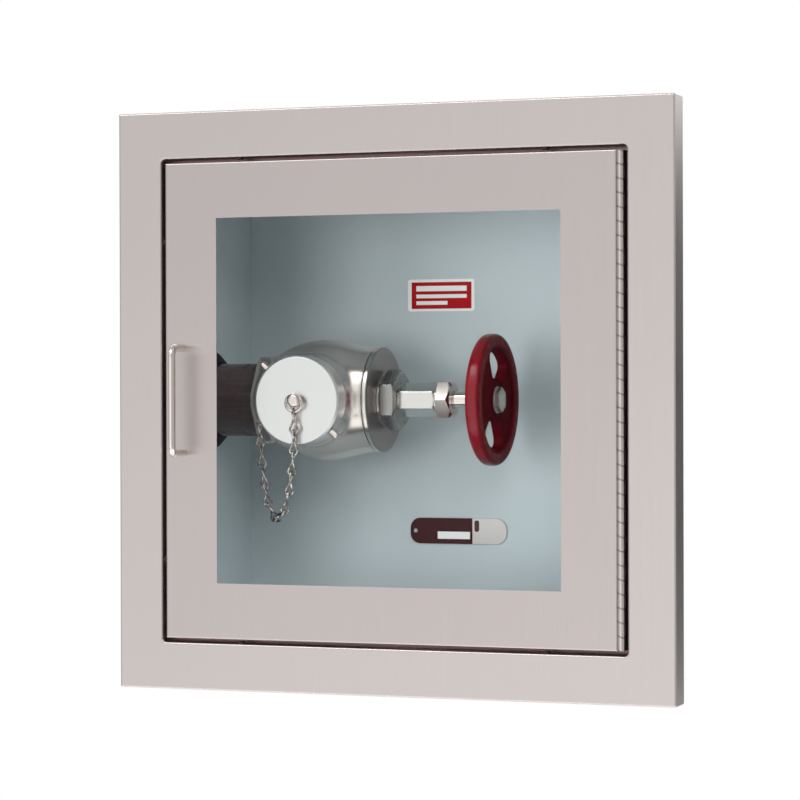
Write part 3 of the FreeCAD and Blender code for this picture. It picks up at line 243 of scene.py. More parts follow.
class ChainSizes(bpy.types.PropertyGroup):
    """Sizes of the wire chain."""

    wire: size_prop("Wire", "Radius of the wire", 1.1)
    loop: size_prop("Loop", "Radius of a link's loops to the middle of the wire", 3.7)
    lap: size_prop("Lap", "Length by which two links pass through each other", 4.4)
    smoothness: IntProperty(name="Smoothness", description="Steps between the wire's points",
                            default=4, min=2, max=8)


class ThreadSizes(bpy.types.PropertyGroup):
    """Sizes of the screw thread cut on the supply pipe."""

    pitch: size_prop("Pitch", "Advance in one turn", 3.175)
    crest: size_prop("Crest", "Radius over the crests", 36.45)
    root: size_prop("Root", "Radius at the roots", 35.75)
    steps: IntProperty(name="Steps", description="Faces round one turn", default=64, min=16, max=128)


class StudioLevels(bpy.types.PropertyGroup):
    """Levels of the studio's lamps and surroundings."""

    front: power_prop("Front lamp", "Power of the soft lamp in front", 24.0)
    side: power_prop("Side lamp", "Power of the lamp at the left", 33.0)
    right: power_prop("Right lamp", "Power of the high lamp at the right", 28.0)
    top: power_prop("Top lamp", "Power of the lamp overhead", 22.0)
    rear: power_prop("Rear lamps", "Power of each lamp behind", 9.0)
    fill: FloatProperty(name="Fill", description="Level of the surroundings' even light",
                        default=0.72, min=0.0, max=1.0)


def colours():
    return bpy.context.scene.cabinet_colours


class Nodes:
    """A node tree put together socket by socket."""

    def __init__(self, tree):
        self.tree = tree
        tree.nodes.clear()

    def node(self, kind, **values):
        made = self.tree.nodes.new(kind)
        for key, value in values.items():
            setattr(made, key, value)
        return made

    def join(self, start, end):
        self.tree.links.new(start, end)

    def feed(self, socket, value):
        """Joins another socket to this one, or sets a constant on it."""
        if isinstance(value, bpy.types.NodeSocket):
            self.join(value, socket)
        elif socket.type == "RGBA":
            socket.default_value = (*value, 1.0)
        else:
            socket.default_value = value

    def span(self, value, low, high, start=0.0, end=1.0, smooth=False):
        """A value that goes from low to high while another goes from start to end."""
        node = self.node("ShaderNodeMapRange")
        node.interpolation_type = "SMOOTHSTEP" if smooth else "LINEAR"
        self.join(value, node.inputs["Value"])
        node.inputs["From Min"].default_value = start
        node.inputs["From Max"].default_value = end
        node.inputs["To Min"].default_value = low
        node.inputs["To Max"].default_value = high
        return node.outputs["Result"]

    def maths(self, operation, first, second=0.0):
        node = self.node("ShaderNodeMath", operation=operation)
        self.feed(node.inputs[0], first)
        self.feed(node.inputs[1], second)
        return node.outputs["Value"]

    def vector(self, operation, first, second=(0.0, 0.0, 0.0), result="Vector"):
        node = self.node("ShaderNodeVectorMath", operation=operation)
        self.feed(node.inputs[0], first)
        self.feed(node.inputs[1], second)
        return node.outputs[result]

    def mixed(self, share, first, second):
        """One shader that gives way to another."""
        node = self.node("ShaderNodeMixShader")
        self.join(share, node.inputs["Fac"])
        self.join(first, node.inputs[1])
        self.join(second, node.inputs[2])
        return node.outputs["Shader"]


class Finish(Nodes):
    """A node material on Object coordinates."""

    def __init__(self, name):
        self.material = bpy.data.materials.new(name)
        self.material.use_nodes = True
        super().__init__(self.material.node_tree)
        self.output = self.node("ShaderNodeOutputMaterial")
        self.shader = self.node("ShaderNodeBsdfPrincipled")
        self.show(self.shader.outputs["BSDF"])
        self.place = self.node("ShaderNodeTexCoord").outputs["Object"]

    def show(self, shader):
        """Makes a shader the material's surface."""
        self.join(shader, self.output.inputs["Surface"])

    def put(self, **values):
        """Sets the shader's own sockets, named with underscores for spaces."""
        for key, value in values.items():
            self.feed(self.shader.inputs[key.replace("_", " ")], value)

    def mapped(self, stretch=(1.0, 1.0, 1.0), centre=(0.0, 0.0, 0.0)):
        """The place measured from a centre, in units of the stretch along each axis."""
        node = self.node("ShaderNodeMapping", vector_type="TEXTURE")
        node.inputs["Location"].default_value = centre
        node.inputs["Scale"].default_value = stretch
        self.join(self.place, node.inputs["Vector"])
        return node.outputs["Vector"]

    def noise(self, scale, stretch=(1.0, 1.0, 1.0), detail=4.0, rough=0.55):
        node = self.node("ShaderNodeTexNoise")
        node.inputs["Scale"].default_value = scale
        node.inputs["Detail"].default_value = detail
        node.inputs["Roughness"].default_value = rough
        self.join(self.mapped(stretch), node.inputs["Vector"])
        return node.outputs["Fac"]

    def blend(self, share, first, second):
        """A colour between two, which may be colours or sockets."""
        node = self.node("ShaderNodeMix", data_type="RGBA")
        self.join(share, node.inputs["Factor"])
        self.feed(node.inputs[6], first)
        self.feed(node.inputs[7], second)
        return node.outputs[2]

    def shades(self, share, colour, dark, light):
        """The colour, darker and lighter by shares of itself."""
        return self.blend(share, [c * dark for c in colour], [min(1.0, c * light) for c in colour])

    def bump(self, height, depth, strength=1.0, onto=None):
        node = self.node("ShaderNodeBump")
        node.inputs["Strength"].default_value = strength
        node.inputs["Distance"].default_value = depth
        self.join(height, node.inputs["Height"])
        if onto is not None:
            self.join(onto, node.inputs["Normal"])
        return node.outputs["Normal"]

    def eased_edges(self, radius):
        node = self.node("ShaderNodeBevel", samples=6)
        node.inputs["Radius"].default_value = radius
        return node.outputs["Normal"]

    def part(self, vector, name):
        """One of a vector's three parts."""
        node = self.node("ShaderNodeSeparateXYZ")
        self.join(vector, node.inputs["Vector"])
        return node.outputs[name]

    def axis(self, name):
        """The place along one axis."""
        return self.part(self.place, name)

    def inside(self, value, low, high, soft=0.00015):
        """1 between two places on an axis, with a soft printed edge."""
        rise = self.span(value, 0.0, 1.0, low - soft, low + soft, True)
        fall = self.span(value, 1.0, 0.0, high - soft, high + soft, True)
        return self.maths("MULTIPLY", rise, fall)

    def field(self, x0, x1, z0, z1):
        """1 inside a rectangle on an upright face, sizes in metres."""
        across = self.inside(self.axis("X"), x0, x1)
        return self.maths("MULTIPLY", across, self.inside(self.axis("Z"), z0, z1))

    def rounded(self, x0, x1, z0, z1, corner, soft=0.00015):
        """1 inside a rectangle with rounded corners on an upright face, sizes in metres."""
        squares = []
        for name, low, high in (("X", x0, x1), ("Z", z0, z1)):
            off = self.maths("ABSOLUTE", self.maths("SUBTRACT", self.axis(name), (low + high) / 2))
            over = self.maths("MAXIMUM", self.maths("SUBTRACT", off, (high - low) / 2 - corner), 0.0)
            squares.append(self.maths("MULTIPLY", over, over))
        reach = self.maths("SQRT", self.maths("ADD", *squares))
        return self.span(reach, 1.0, 0.0, corner - soft, corner + soft, True)


def direction(azimuth, elevation):
    """A unit vector out from the cabinet. Azimuth 0 is straight in front, 90 to the right."""
    turn, rise = math.radians(azimuth), math.radians(elevation)
    return Vector((math.sin(turn) * math.cos(rise), -math.cos(turn) * math.cos(rise), math.sin(rise)))


def dress(node_names, material):
    for name in node_names:
        mesh = NODES[name].data
        mesh.materials.clear()
        mesh.materials.append(material)


def add_object(name, data):
    made = bpy.data.objects.new(name, data)
    bpy.context.scene.collection.objects.link(made)
    return made


def mesh_object(name, bm, material, smooth=False):
    """An object with its place in its mesh, made from a bmesh that is then put away."""
    mesh = bpy.data.meshes.new(name)
    bm.to_mesh(mesh)
    bm.free()
    for face in mesh.polygons:
        face.use_smooth = smooth
    mesh.materials.append(material)
    return add_object(name, mesh)


def new_piece(name, bm, material, body):
    """A smooth piece of the cabinet that rides on one of its bodies."""
    piece = mesh_object(name, bm, material, smooth=True)
    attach(piece, body)
    return piece


def halved(low, high, past):
    """The value between two at which a test turns true, found by halving."""
    for _ in range(60):
        middle = (low + high) / 2
        low, high = (low, middle) if past(middle) else (middle, high)
    return low


def hanging_line(level, top, end):
    """Level distances and heights along the chain: straight down, then a free loop up to its end."""

    def reach(bend, height):
        """Level distance from the loop's lowest point to a height."""
        return bend * math.acosh(1 + (height - CHAIN_LOWEST) / bend)

    bend = halved(0.5, 500.0, lambda b: reach(b, CHAIN_LEAVES) + reach(b, end) > level)
    lowest = reach(bend, CHAIN_LEAVES)
    points = [(0.0, top + (CHAIN_LEAVES - top) * i / CHAIN_STEPS) for i in range(CHAIN_STEPS)]
    for i in range(CHAIN_STEPS + 1):
        along = level * i / CHAIN_STEPS
        points.append((along, CHAIN_LOWEST + bend * (math.cosh((along - lowest) / bend) - 1)))
    return points


def between(first, second, share):
    return tuple(a + (b - a) * share for a, b in zip(first, second))


def walked(points, chord):
    """Places at equal straight distances along a line of points."""
    places = [points[0]]
    for first, second in zip(points, points[1:]):
        last = places[-1]
        if math.dist(second, last) >= chord:
            share = halved(0.0, 1.0, lambda s: math.dist(between(first, second, s), last) > chord)
            places.append(between(first, second, share))
    return places


def chain_joints():
    """Joints of the chain's equal links from the swivel eye to the ear, in metres."""
    start, end = Vector(CHAIN_START), Vector(CHAIN_END)
    across = Vector((end.x - start.x, end.y - start.y, 0.0))
    points = hanging_line(across.length, start.z, end.z)
    mean = sum(math.dist(*pair) for pair in zip(points, points[1:])) / CHAIN_LINKS
    chord = halved(mean / 2, mean, lambda c: len(walked(points, c)) <= CHAIN_LINKS)
    places = walked(points, chord)[:CHAIN_LINKS] + [points[-1]]
    foot = Vector((start.x, start.y, 0.0))
    out = across.normalized()
    return [(foot + out * along + Vector((0.0, 0.0, height))) / 1000 for along, height in places]


def bent_wire(name, points, radius, smoothness):
    """A closed loop of round wire."""
    curve = bpy.data.curves.new(name, "CURVE")
    curve.dimensions = "3D"
    curve.bevel_depth = radius
    curve.bevel_resolution = 3
    curve.resolution_u = smoothness
    spline = curve.splines.new("NURBS")
    spline.points.add(len(points) - 1)
    for point, place in zip(spline.points, points):
        point.co = (*place, 1.0)
    spline.order_u = 4
    spline.use_cyclic_u = True
    return curve


def curve_mesh(curve):
    """The curve's own surface as a mesh, and the curve put away."""
    pattern = bpy.data.objects.new(curve.name, curve)
    mesh = bpy.data.meshes.new_from_object(pattern)
    bpy.data.objects.remove(pattern)
    bpy.data.curves.remove(curve)
    return mesh


def satin_steel(name, colour, jamb=None):
    """Sheet with a fine upright grain, a little clouded by handling, and with painted shade inside the jamb.
    """
    finish = Finish(name)
    grain = finish.noise(1.0, (0.0011, 0.0011, 0.09), detail=6.0, rough=0.7)
    cloud = finish.noise(5.0, detail=2.0)
    tone = finish.shades(finish.span(grain, 0.0, 1.0, 0.3, 0.7), colour, 0.965, 1.02)
    tone = finish.blend(finish.span(cloud, 0.0, 0.35, 0.35, 0.8), tone, [c * 0.95 for c in colour])
    # Inside the jamb the sheet takes a darker colour: painted shade
    if jamb is not None:
        half, front = jamb
        within = finish.field(-half, half, -half, half)
        deep = finish.span(finish.axis("Y"), 0.0, 1.0, front, front + JAMB_FADE, True)
        tone = finish.blend(finish.maths("MULTIPLY", within, deep), tone, colours().jamb)
    finish.put(Metallic=1.0, Base_Color=tone, Roughness=finish.span(grain, 0.27, 0.35, 0.3, 0.7))
    finish.put(Anisotropic=0.85, Normal=finish.bump(grain, 0.00001, 0.25))
    along = finish.node("ShaderNodeTangent", direction_type="RADIAL", axis="Z")
    finish.put(Tangent=along.outputs["Tangent"])
    return finish.material


def hinge_steel():
    """Worn knuckles, with painted shade at their joints and deep in the gap."""
    finish = Finish("hinge_steel")
    grain = finish.noise(1.0, (0.0008, 0.0008, 0.02), detail=5.0)
    tone = finish.shades(grain, colours().hinge, 0.8, 1.08)
    low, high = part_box("hinge_pin")
    axis = (low + high) / 2
    # Painted shade: a slanted dark line at each joint, and darkening deep in the gap
    slant = finish.maths("MULTIPLY", finish.maths("SUBTRACT", finish.axis("X"), axis.x), KNUCKLE_SLANT)
    along = finish.maths("ADD", finish.maths("SUBTRACT", finish.axis("Z"), low.z), slant)
    turn = finish.maths("FRACT", finish.maths("ADD", finish.maths("DIVIDE", along, KNUCKLE_PITCH), 0.5))
    joint = finish.maths("MULTIPLY", finish.inside(turn, *KNUCKLE_SHADE), KNUCKLE_SHADE_SHARE)
    start, end = (axis.y + depth for depth in HINGE_DARK)
    deep = finish.span(finish.axis("Y"), 0.0, 1.0, start, end, True)
    tone = finish.blend(finish.maths("MAXIMUM", joint, deep), tone, colours().painted_hinge_shade)
    finish.put(Metallic=1.0, Base_Color=tone, Roughness=finish.span(grain, 0.28, 0.42))
    finish.put(Normal=finish.bump(grain, 0.00002, 0.3, finish.eased_edges(0.0006)))
    return finish.material


def dark_strip():
    """Dark steel deep in the hinge's gap, a painted shade."""
    finish = Finish("dark_strip")
    mottle = finish.noise(120.0, detail=4.0)
    tone = finish.shades(mottle, colours().strip, 0.7, 1.2)
    finish.put(Base_Color=tone, Roughness=finish.span(mottle, 0.5, 0.7), Specular_IOR_Level=0.2)
    return finish.material


def hardware_steel():
    """Plain steel of screws, rivets and strips, mottled by handling."""
    finish = Finish("hardware_steel")
    mottle = finish.noise(160.0, detail=5.0)
    tone = finish.shades(mottle, colours().hinge, 0.72, 1.0)
    finish.put(Metallic=1.0, Base_Color=tone, Roughness=finish.span(mottle, 0.3, 0.5))
    finish.put(Normal=finish.bump(mottle, 0.00003, 0.3, finish.eased_edges(0.0004)))
    return finish.material


def tub_enamel():
    """Baked enamel with a faint orange peel."""
    finish = Finish("tub_enamel")
    peel = finish.noise(420.0, detail=2.0)
    drift = finish.noise(3.0, detail=2.0)
    tone = finish.shades(drift, colours().paint, 0.96, 1.03)
    finish.put(Base_Color=tone, Roughness=finish.span(peel, 0.42, 0.52), Specular_IOR_Level=0.35)
    finish.put(Normal=finish.bump(peel, 0.00005, 0.25))
    return finish.material


def clear_pane():
    """Thin clear glass: what is behind shows through, and a faint gloss lies on its outer sides."""
    finish = Finish("clear_pane")
    finish.tree.nodes.remove(finish.shader)
    clear = finish.node("ShaderNodeBsdfTransparent")
    smear = finish.noise(9.0, detail=3.0)
    finish.join(finish.shades(smear, PANE_TINT, 0.992, 1.0), clear.inputs["Color"])
    gloss = finish.node("ShaderNodeBsdfGlossy")
    finish.join(finish.span(smear, 0.01, 0.04), gloss.inputs["Roughness"])
    facing = finish.node("ShaderNodeFresnel")
    facing.inputs["IOR"].default_value = PANE_INDEX
    outside = finish.span(finish.node("ShaderNodeNewGeometry").outputs["Backfacing"], 1.0, 0.0)
    share = finish.maths("MULTIPLY", facing.outputs["Fac"], outside)
    finish.show(finish.mixed(share, clear.outputs["BSDF"], gloss.outputs["BSDF"]))
    return finish.material


def cast_chrome():
    """Plating over a ground casting: soft waves and fine polishing lines."""
    finish = Finish("cast_chrome")
    wave = finish.noise(46.0, detail=2.0)
    lines = finish.noise(1.0, (0.02, 0.0009, 0.0009), detail=5.0)
    tone = finish.shades(lines, colours().chrome, 0.97, 1.0)
    finish.put(Metallic=0.95, Base_Color=tone, Roughness=finish.span(lines, 0.18, 0.24))
    finish.put(Normal=finish.bump(wave, 0.0003, 0.16, finish.eased_edges(0.006)))
    return finish.material


def turned_chrome():
    """Bright plating with the fine rings of turning left in it."""
    finish = Finish("turned_chrome")
    lines = finish.noise(1.0, (0.0007, 0.03, 0.03), detail=4.0)
    tone = finish.shades(lines, colours().chrome, 0.94, 1.02)
    finish.put(Metallic=1.0, Base_Color=tone, Roughness=finish.span(lines, 0.17, 0.27))
    finish.put(Normal=finish.bump(lines, 0.00001, 0.2, finish.eased_edges(0.0008)))
    return finish.material


def bonnet_chrome():
    """Plating with well rounded corners, dull on the hexagon and on the flange's face, whose darker colour
    there is partly a rough finish and partly painted shade.
    """
    finish = Finish("bonnet_chrome")
    lines = finish.noise(1.0, (0.0007, 0.03, 0.03), detail=4.0)
    cast = finish.noise(260.0, detail=4.0)
    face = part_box("valve_body")[1].x + BONNET_FLANGE
    before, past, soft = FLANGE_DULL_AND_SHADE
    rough = finish.inside(finish.axis("X"), face - before, face + past, soft)
    start = face + BONNET_HEX_AT
    before, past, soft = HEX_DULL_AND_SHADE
    hexagon = finish.inside(finish.axis("X"), start - before, start + BONNET_HEX_L + past, soft)
    # The darker hexagon and flange face colours are partly painted shade
    tone = finish.shades(lines, colours().bonnet, 0.94, 1.02)
    tone = finish.blend(hexagon, tone, finish.shades(cast, colours().hexagon, 0.9, 1.05))
    tone = finish.blend(rough, tone, finish.shades(cast, colours().flange, 0.85, 1.05))
    worn = finish.maths("MAXIMUM", rough, finish.maths("MULTIPLY", hexagon, 0.6))
    dull = finish.maths("ADD", finish.span(lines, 0.15, 0.23), finish.span(worn, 0.0, 0.14))
    finish.put(Metallic=1.0, Base_Color=tone, Roughness=dull)
    finish.put(Normal=finish.bump(lines, 0.00001, 0.2, finish.eased_edges(0.0024)))
    return finish.material


def rod_chrome():
    """Bright plated rod with faint smears."""
    finish = Finish("rod_chrome")
    smear = finish.noise(70.0, detail=3.0)
    tone = finish.shades(smear, colours().chrome, 0.95, 1.04)
    finish.put(Metallic=1.0, Base_Color=tone, Roughness=finish.span(smear, 0.04, 0.12))
    return finish.material


def chain_plate():
    """Plated wire, dark in spots where the plating has worn."""
    finish = Finish("chain_plate")
    dull = finish.noise(240.0, detail=3.0)
    tone = finish.shades(finish.span(dull, 0.0, 1.0, 0.38, 0.6), colours().chrome, 0.22, 1.0)
    finish.put(Metallic=1.0, Base_Color=tone, Roughness=finish.span(dull, 0.06, 0.18))
    finish.put(Normal=finish.bump(dull, 0.00004, 0.3))
    return finish.material


def cap_plate():
    """Satin plating with the faint rings of facing in a lathe."""
    finish = Finish("cap_plate")
    rings = finish.node("ShaderNodeTexWave", wave_type="RINGS", rings_direction="Y")
    rings.inputs["Scale"].default_value = 420.0
    rings.inputs["Distortion"].default_value = 1.5
    rings.inputs["Detail"].default_value = 2.0
    low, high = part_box("outlet_cap")
    finish.join(finish.mapped(centre=((low.x + high.x) / 2, 0.0, 0.0)), rings.inputs["Vector"])
    smear = finish.noise(30.0, detail=3.0)
    tone = finish.shades(smear, colours().cap, 0.97, 1.0)
    finish.put(Metallic=1.0, Base_Color=tone, Roughness=finish.span(smear, 0.26, 0.34))
    finish.put(Normal=finish.bump(rings.outputs["Fac"], 0.000004, 0.2, finish.eased_edges(0.0008)))
    return finish.material


def turned_brass():
    """Bare brass with the fine rings of turning."""
    finish = Finish("turned_brass")
    lines = finish.noise(1.0, (0.0006, 0.02, 0.02), detail=4.0)
    tone = finish.shades(lines, colours().brass, 0.85, 1.05)
    finish.put(Metallic=1.0, Base_Color=tone, Roughness=finish.span(lines, 0.22, 0.34))
    return finish.material


def pipe_black():
    """Black pipe with a thin mill scale."""
    finish = Finish("pipe_black")
    scale = finish.noise(90.0, detail=6.0, rough=0.65)
    streak = finish.noise(1.0, (0.05, 0.004, 0.004), detail=3.0)
    share = finish.maths("MULTIPLY", scale, streak)
    tone = finish.shades(finish.span(share, 0.0, 1.0, 0.1, 0.5), colours().pipe, 0.6, 1.5)
    finish.put(Base_Color=tone, Roughness=finish.span(scale, 0.18, 0.28), Specular_IOR_Level=0.6)
    finish.put(Normal=finish.bump(scale, 0.00012, 0.25))
    return finish.material


def black_rubber():
    """Matt black rubber."""
    finish = Finish("black_rubber")
    fine = finish.noise(700.0, detail=3.0)
    tone = finish.shades(finish.noise(40.0), colours().rubber, 0.75, 1.3)
    finish.put(Base_Color=tone, Roughness=finish.span(fine, 0.6, 0.8), Specular_IOR_Level=0.3)
    finish.put(Normal=finish.bump(fine, 0.00006, 0.4, finish.eased_edges(0.0006)))
    return finish.material


def catch_plastic():
    """Moulded black plastic of the catch's case."""
    finish = Finish("catch_plastic")
    grain = finish.noise(900.0, detail=2.0)
    tone = finish.shades(grain, CATCH_BLACK, 0.8, 1.3)
    finish.put(Base_Color=tone, Roughness=finish.span(grain, 0.45, 0.6))
    finish.put(Normal=finish.bump(grain, 0.00005, 0.3, finish.eased_edges(0.0005)))
    return finish.material


def wheel_enamel():
    """Dark red enamel over a sand casting, glossy on the rim, less glossy and darkened by painted shade on
    the web and the outer face.
    """
    finish = Finish("wheel_enamel")
    sand = finish.noise(300.0, detail=4.0)
    pool = finish.noise(60.0, detail=2.0)
    low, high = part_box("handwheel")
    flat = finish.vector("MULTIPLY", finish.mapped(centre=(low + high) / 2), (0.0, 1.0, 1.0))
    reach = finish.vector("LENGTH", flat, result="Value")
    web = (high.z - low.z) / 2 - RIM_WIDTH
    rim = finish.span(reach, 0.0, 1.0, web - RIM_FADE, web + RIM_FADE, True)
    # Painted shade: the surface darkens as it slopes towards the outer face
    slope = finish.part(finish.node("ShaderNodeNewGeometry").outputs["Normal"], "X")
    rim = finish.maths("MULTIPLY", rim, finish.span(slope, 1.0, FACE_RIM_SHARE, *FACE_SLOPE, True))
    tone = finish.shades(finish.span(pool, 0.0, 1.0, 0.3, 0.7), colours().wheel, 0.72, 0.96)
    # Painted shade: the web takes a far darker colour than the rim
    dull = finish.shades(pool, colours().wheel, 0.26, 0.48)
    finish.put(Base_Color=finish.blend(rim, dull, tone), Roughness=finish.span(sand, 0.3, 0.42))
    finish.put(Specular_IOR_Level=0.0, Coat_Weight=finish.span(rim, 0.04, 0.7), Coat_Roughness=0.16)
    finish.put(Normal=finish.bump(sand, 0.00016, 0.35, finish.eased_edges(0.0018)))
    return finish.material


def label_print():
    """A plain red field with white rules on a white plate."""
    finish = Finish("label_print")
    low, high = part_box("wall_label")
    at_left, at_right, at_foot, at_head = LABEL_MARGINS
    left, right = low.x + at_left, high.x - at_right
    foot, head = low.z + at_foot, high.z - at_head
    width, height = right - left, head - foot
    ink = finish.field(left, right, foot, head)
    for start, end, level, thick in LABEL_RULES:
        z0 = foot + height * level
        rule = finish.field(left + width * start, left + width * end, z0, z0 + height * thick)
        ink = finish.maths("SUBTRACT", ink, rule)
    fibre = finish.noise(500.0, detail=3.0)
    white = finish.shades(fibre, colours().label_white, 0.95, 1.0)
    red = finish.shades(fibre, colours().label_red, 0.86, 1.08)
    finish.put(Base_Color=finish.blend(ink, white, red), Roughness=finish.span(fibre, 0.44, 0.56))
    finish.put(Specular_IOR_Level=0.15)
    return finish.material


def tag_plastic():
    """Dark red plastic of the tag."""
    finish = Finish("tag_plastic")
    fine = finish.noise(220.0, detail=4.0)
    tone = finish.shades(fine, colours().tag_red, 0.75, 1.15)
    finish.put(Base_Color=tone, Roughness=finish.span(fine, 0.35, 0.5), Specular_IOR_Level=0.2)
    finish.put(Normal=finish.bump(fine, 0.00005, 0.3, finish.eased_edges(0.0004)))
    return finish.material


def tag_paper():
    """White paper strip of the tag."""
    finish = Finish("tag_paper")
    fibre = finish.noise(600.0, (1.0, 1.0, 3.0), detail=3.0)
    tone = finish.shades(fibre, colours().label_white, 0.9, 1.0)
    finish.put(Base_Color=tone, Roughness=finish.span(fibre, 0.5, 0.65))
    return finish.material


def tag_aluminium():
    """Brushed metal end of the tag with a small dark window."""
    finish = Finish("tag_aluminium")
    grain = finish.noise(1.0, (0.02, 0.0008, 0.0008), detail=5.0)
    tone = finish.shades(grain, colours().tag_metal, 0.88, 1.05)
    low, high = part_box("tag_end_plate")
    width, height = high.x - low.x, high.z - low.z
    left, right, foot, head = TAG_WINDOW
    window = finish.rounded(low.x + left * width, low.x + right * width,
                            low.z + foot * height, low.z + head * height, TAG_WINDOW_CORNER * width)
    tone = finish.blend(window, tone, colours().tag_red)
    finish.put(Metallic=finish.span(window, 1.0, 0.0), Base_Color=tone)
    finish.put(Roughness=finish.span(grain, 0.3, 0.45))
    finish.put(Normal=finish.bump(grain, 0.00002, 0.3, finish.eased_edges(0.0004)))
    return finish.material


class Step(bpy.types.Operator):
    """Shared ground of the cabinet's operators."""

    bl_options = {"REGISTER", "UNDO"}


class CABINET_OT_sheet_steel(Step):
    """Give the trim and the door sheet their satin grain"""

    bl_idname = "cabinet.sheet_steel"
    bl_label = "Trim and door"

    def execute(self, context):
        low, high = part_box("trim_frame")
        # Where the painted shade inside the jamb lies
        jamb = (high.x - TRIM_FACE + JAMB_PAST, low.y + JAMB_START)
        dress(("trim_frame",), satin_steel("trim_steel", colours().trim, jamb))
        dress(("door_panel",), satin_steel("door_steel", colours().door))
        return {"FINISHED"}


class CABINET_OT_hardware(Step):
    """Finish the hinge, its rivets, the screws, the catch, the pull and the glazing strips"""

    bl_idname = "cabinet.hardware"
    bl_label = "Hinge and hardware"

    def execute(self, context):
        dress(HINGE_NODES, hinge_steel())
        # The strip behind the hinge and the jamb's screws take painted shade
        dress(("hinge_strip", "jamb_screws"), dark_strip())
        dress(HARDWARE_NODES, hardware_steel())
        dress(("catch_magnet",), catch_plastic())
        dress(("pull_handle",), rod_chrome())
        return {"FINISHED"}


class CABINET_OT_tub(Step):
    """Enamel the tub"""

    bl_idname = "cabinet.tub"
    bl_label = "Tub"

    def execute(self, context):
        dress(("tub",), tub_enamel())
        return {"FINISHED"}


class CABINET_OT_glazing(Step):
    """Glaze the door and finish the rubber pieces"""

    bl_idname = "cabinet.glazing"
    bl_label = "Glazing and rubber"

    def execute(self, context):
        dress(("glazing_pane",), clear_pane())
        dress(RUBBER_NODES, black_rubber())
        return {"FINISHED"}


class CABINET_OT_valve(Step):
    """Plate the valve, its bonnet and its cap, and leave the inner pieces brass"""

    bl_idname = "cabinet.valve"
    bl_label = "Valve"

    def execute(self, context):
        dress(("valve_body",), cast_chrome())
        dress(TURNED_CHROME_NODES, turned_chrome())
        dress(("bonnet",), bonnet_chrome())
        dress(("valve_stem",), rod_chrome())
        dress(("outlet_cap",), cap_plate())
        dress(BRASS_NODES, turned_brass())
        return {"FINISHED"}


class CABINET_OT_wheel(Step):
    """Enamel the handwheel"""

    bl_idname = "cabinet.wheel"
    bl_label = "Handwheel"

    def execute(self, context):
        dress(("handwheel",), wheel_enamel())
        return {"FINISHED"}


class CABINET_OT_pipe(Step):
    """Blacken the supply pipe and cut the threads on its two ends"""

    bl_idname = "cabinet.pipe"
    bl_label = "Supply pipe"

    def execute(self, context):
        black = pipe_black()
        dress(("supply_pipe",), black)
        outer_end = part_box("supply_pipe")[0].x
        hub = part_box("valve_body")[0].x
        self.cut("pipe_thread_wall", outer_end, WALL_THREAD, black)
        self.cut("pipe_thread_valve", hub, VALVE_THREAD, black)
        return {"FINISHED"}

    def cut(self, name, origin, reach, material):
        """A ridge wound round the pipe between two places measured from an origin on its axis."""
        sizes = bpy.context.scene.cabinet_thread
        start, end = (origin + place for place in reach)
        low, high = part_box("supply_pipe")
        centre = Vector((start, (low.y + high.y) / 2, (low.z + high.z) / 2))
        turns = int((end - start) / sizes.pitch) - 1
        rise, fall = THREAD_CREST
        outline = ((0.0, sizes.root), (rise, sizes.crest), (fall, sizes.crest), (1.0, sizes.root))
        bm = bmesh.new()
        tooth = []
        for share, radius in outline:
            tooth.append(bm.verts.new(centre + Vector((sizes.pitch * share, 0.0, radius))))
        edges = [bm.edges.new(pair) for pair in zip(tooth, tooth[1:])]
        bmesh.ops.spin(bm, geom=tooth + edges, cent=centre, axis=(1.0, 0.0, 0.0),
                       dvec=(sizes.pitch / sizes.steps, 0.0, 0.0), angle=2 * math.pi * turns,
                       steps=sizes.steps * turns, use_merge=False, use_duplicate=False)
        bmesh.ops.remove_doubles(bm, verts=bm.verts, dist=RIDGE_MERGE)
        for face in bm.faces:
            out = face.calc_center_median() - centre
            out.x = 0.0
            if face.normal.dot(out) < 0:
                face.normal_flip()
        new_piece(name, bm, material, "cabinet")


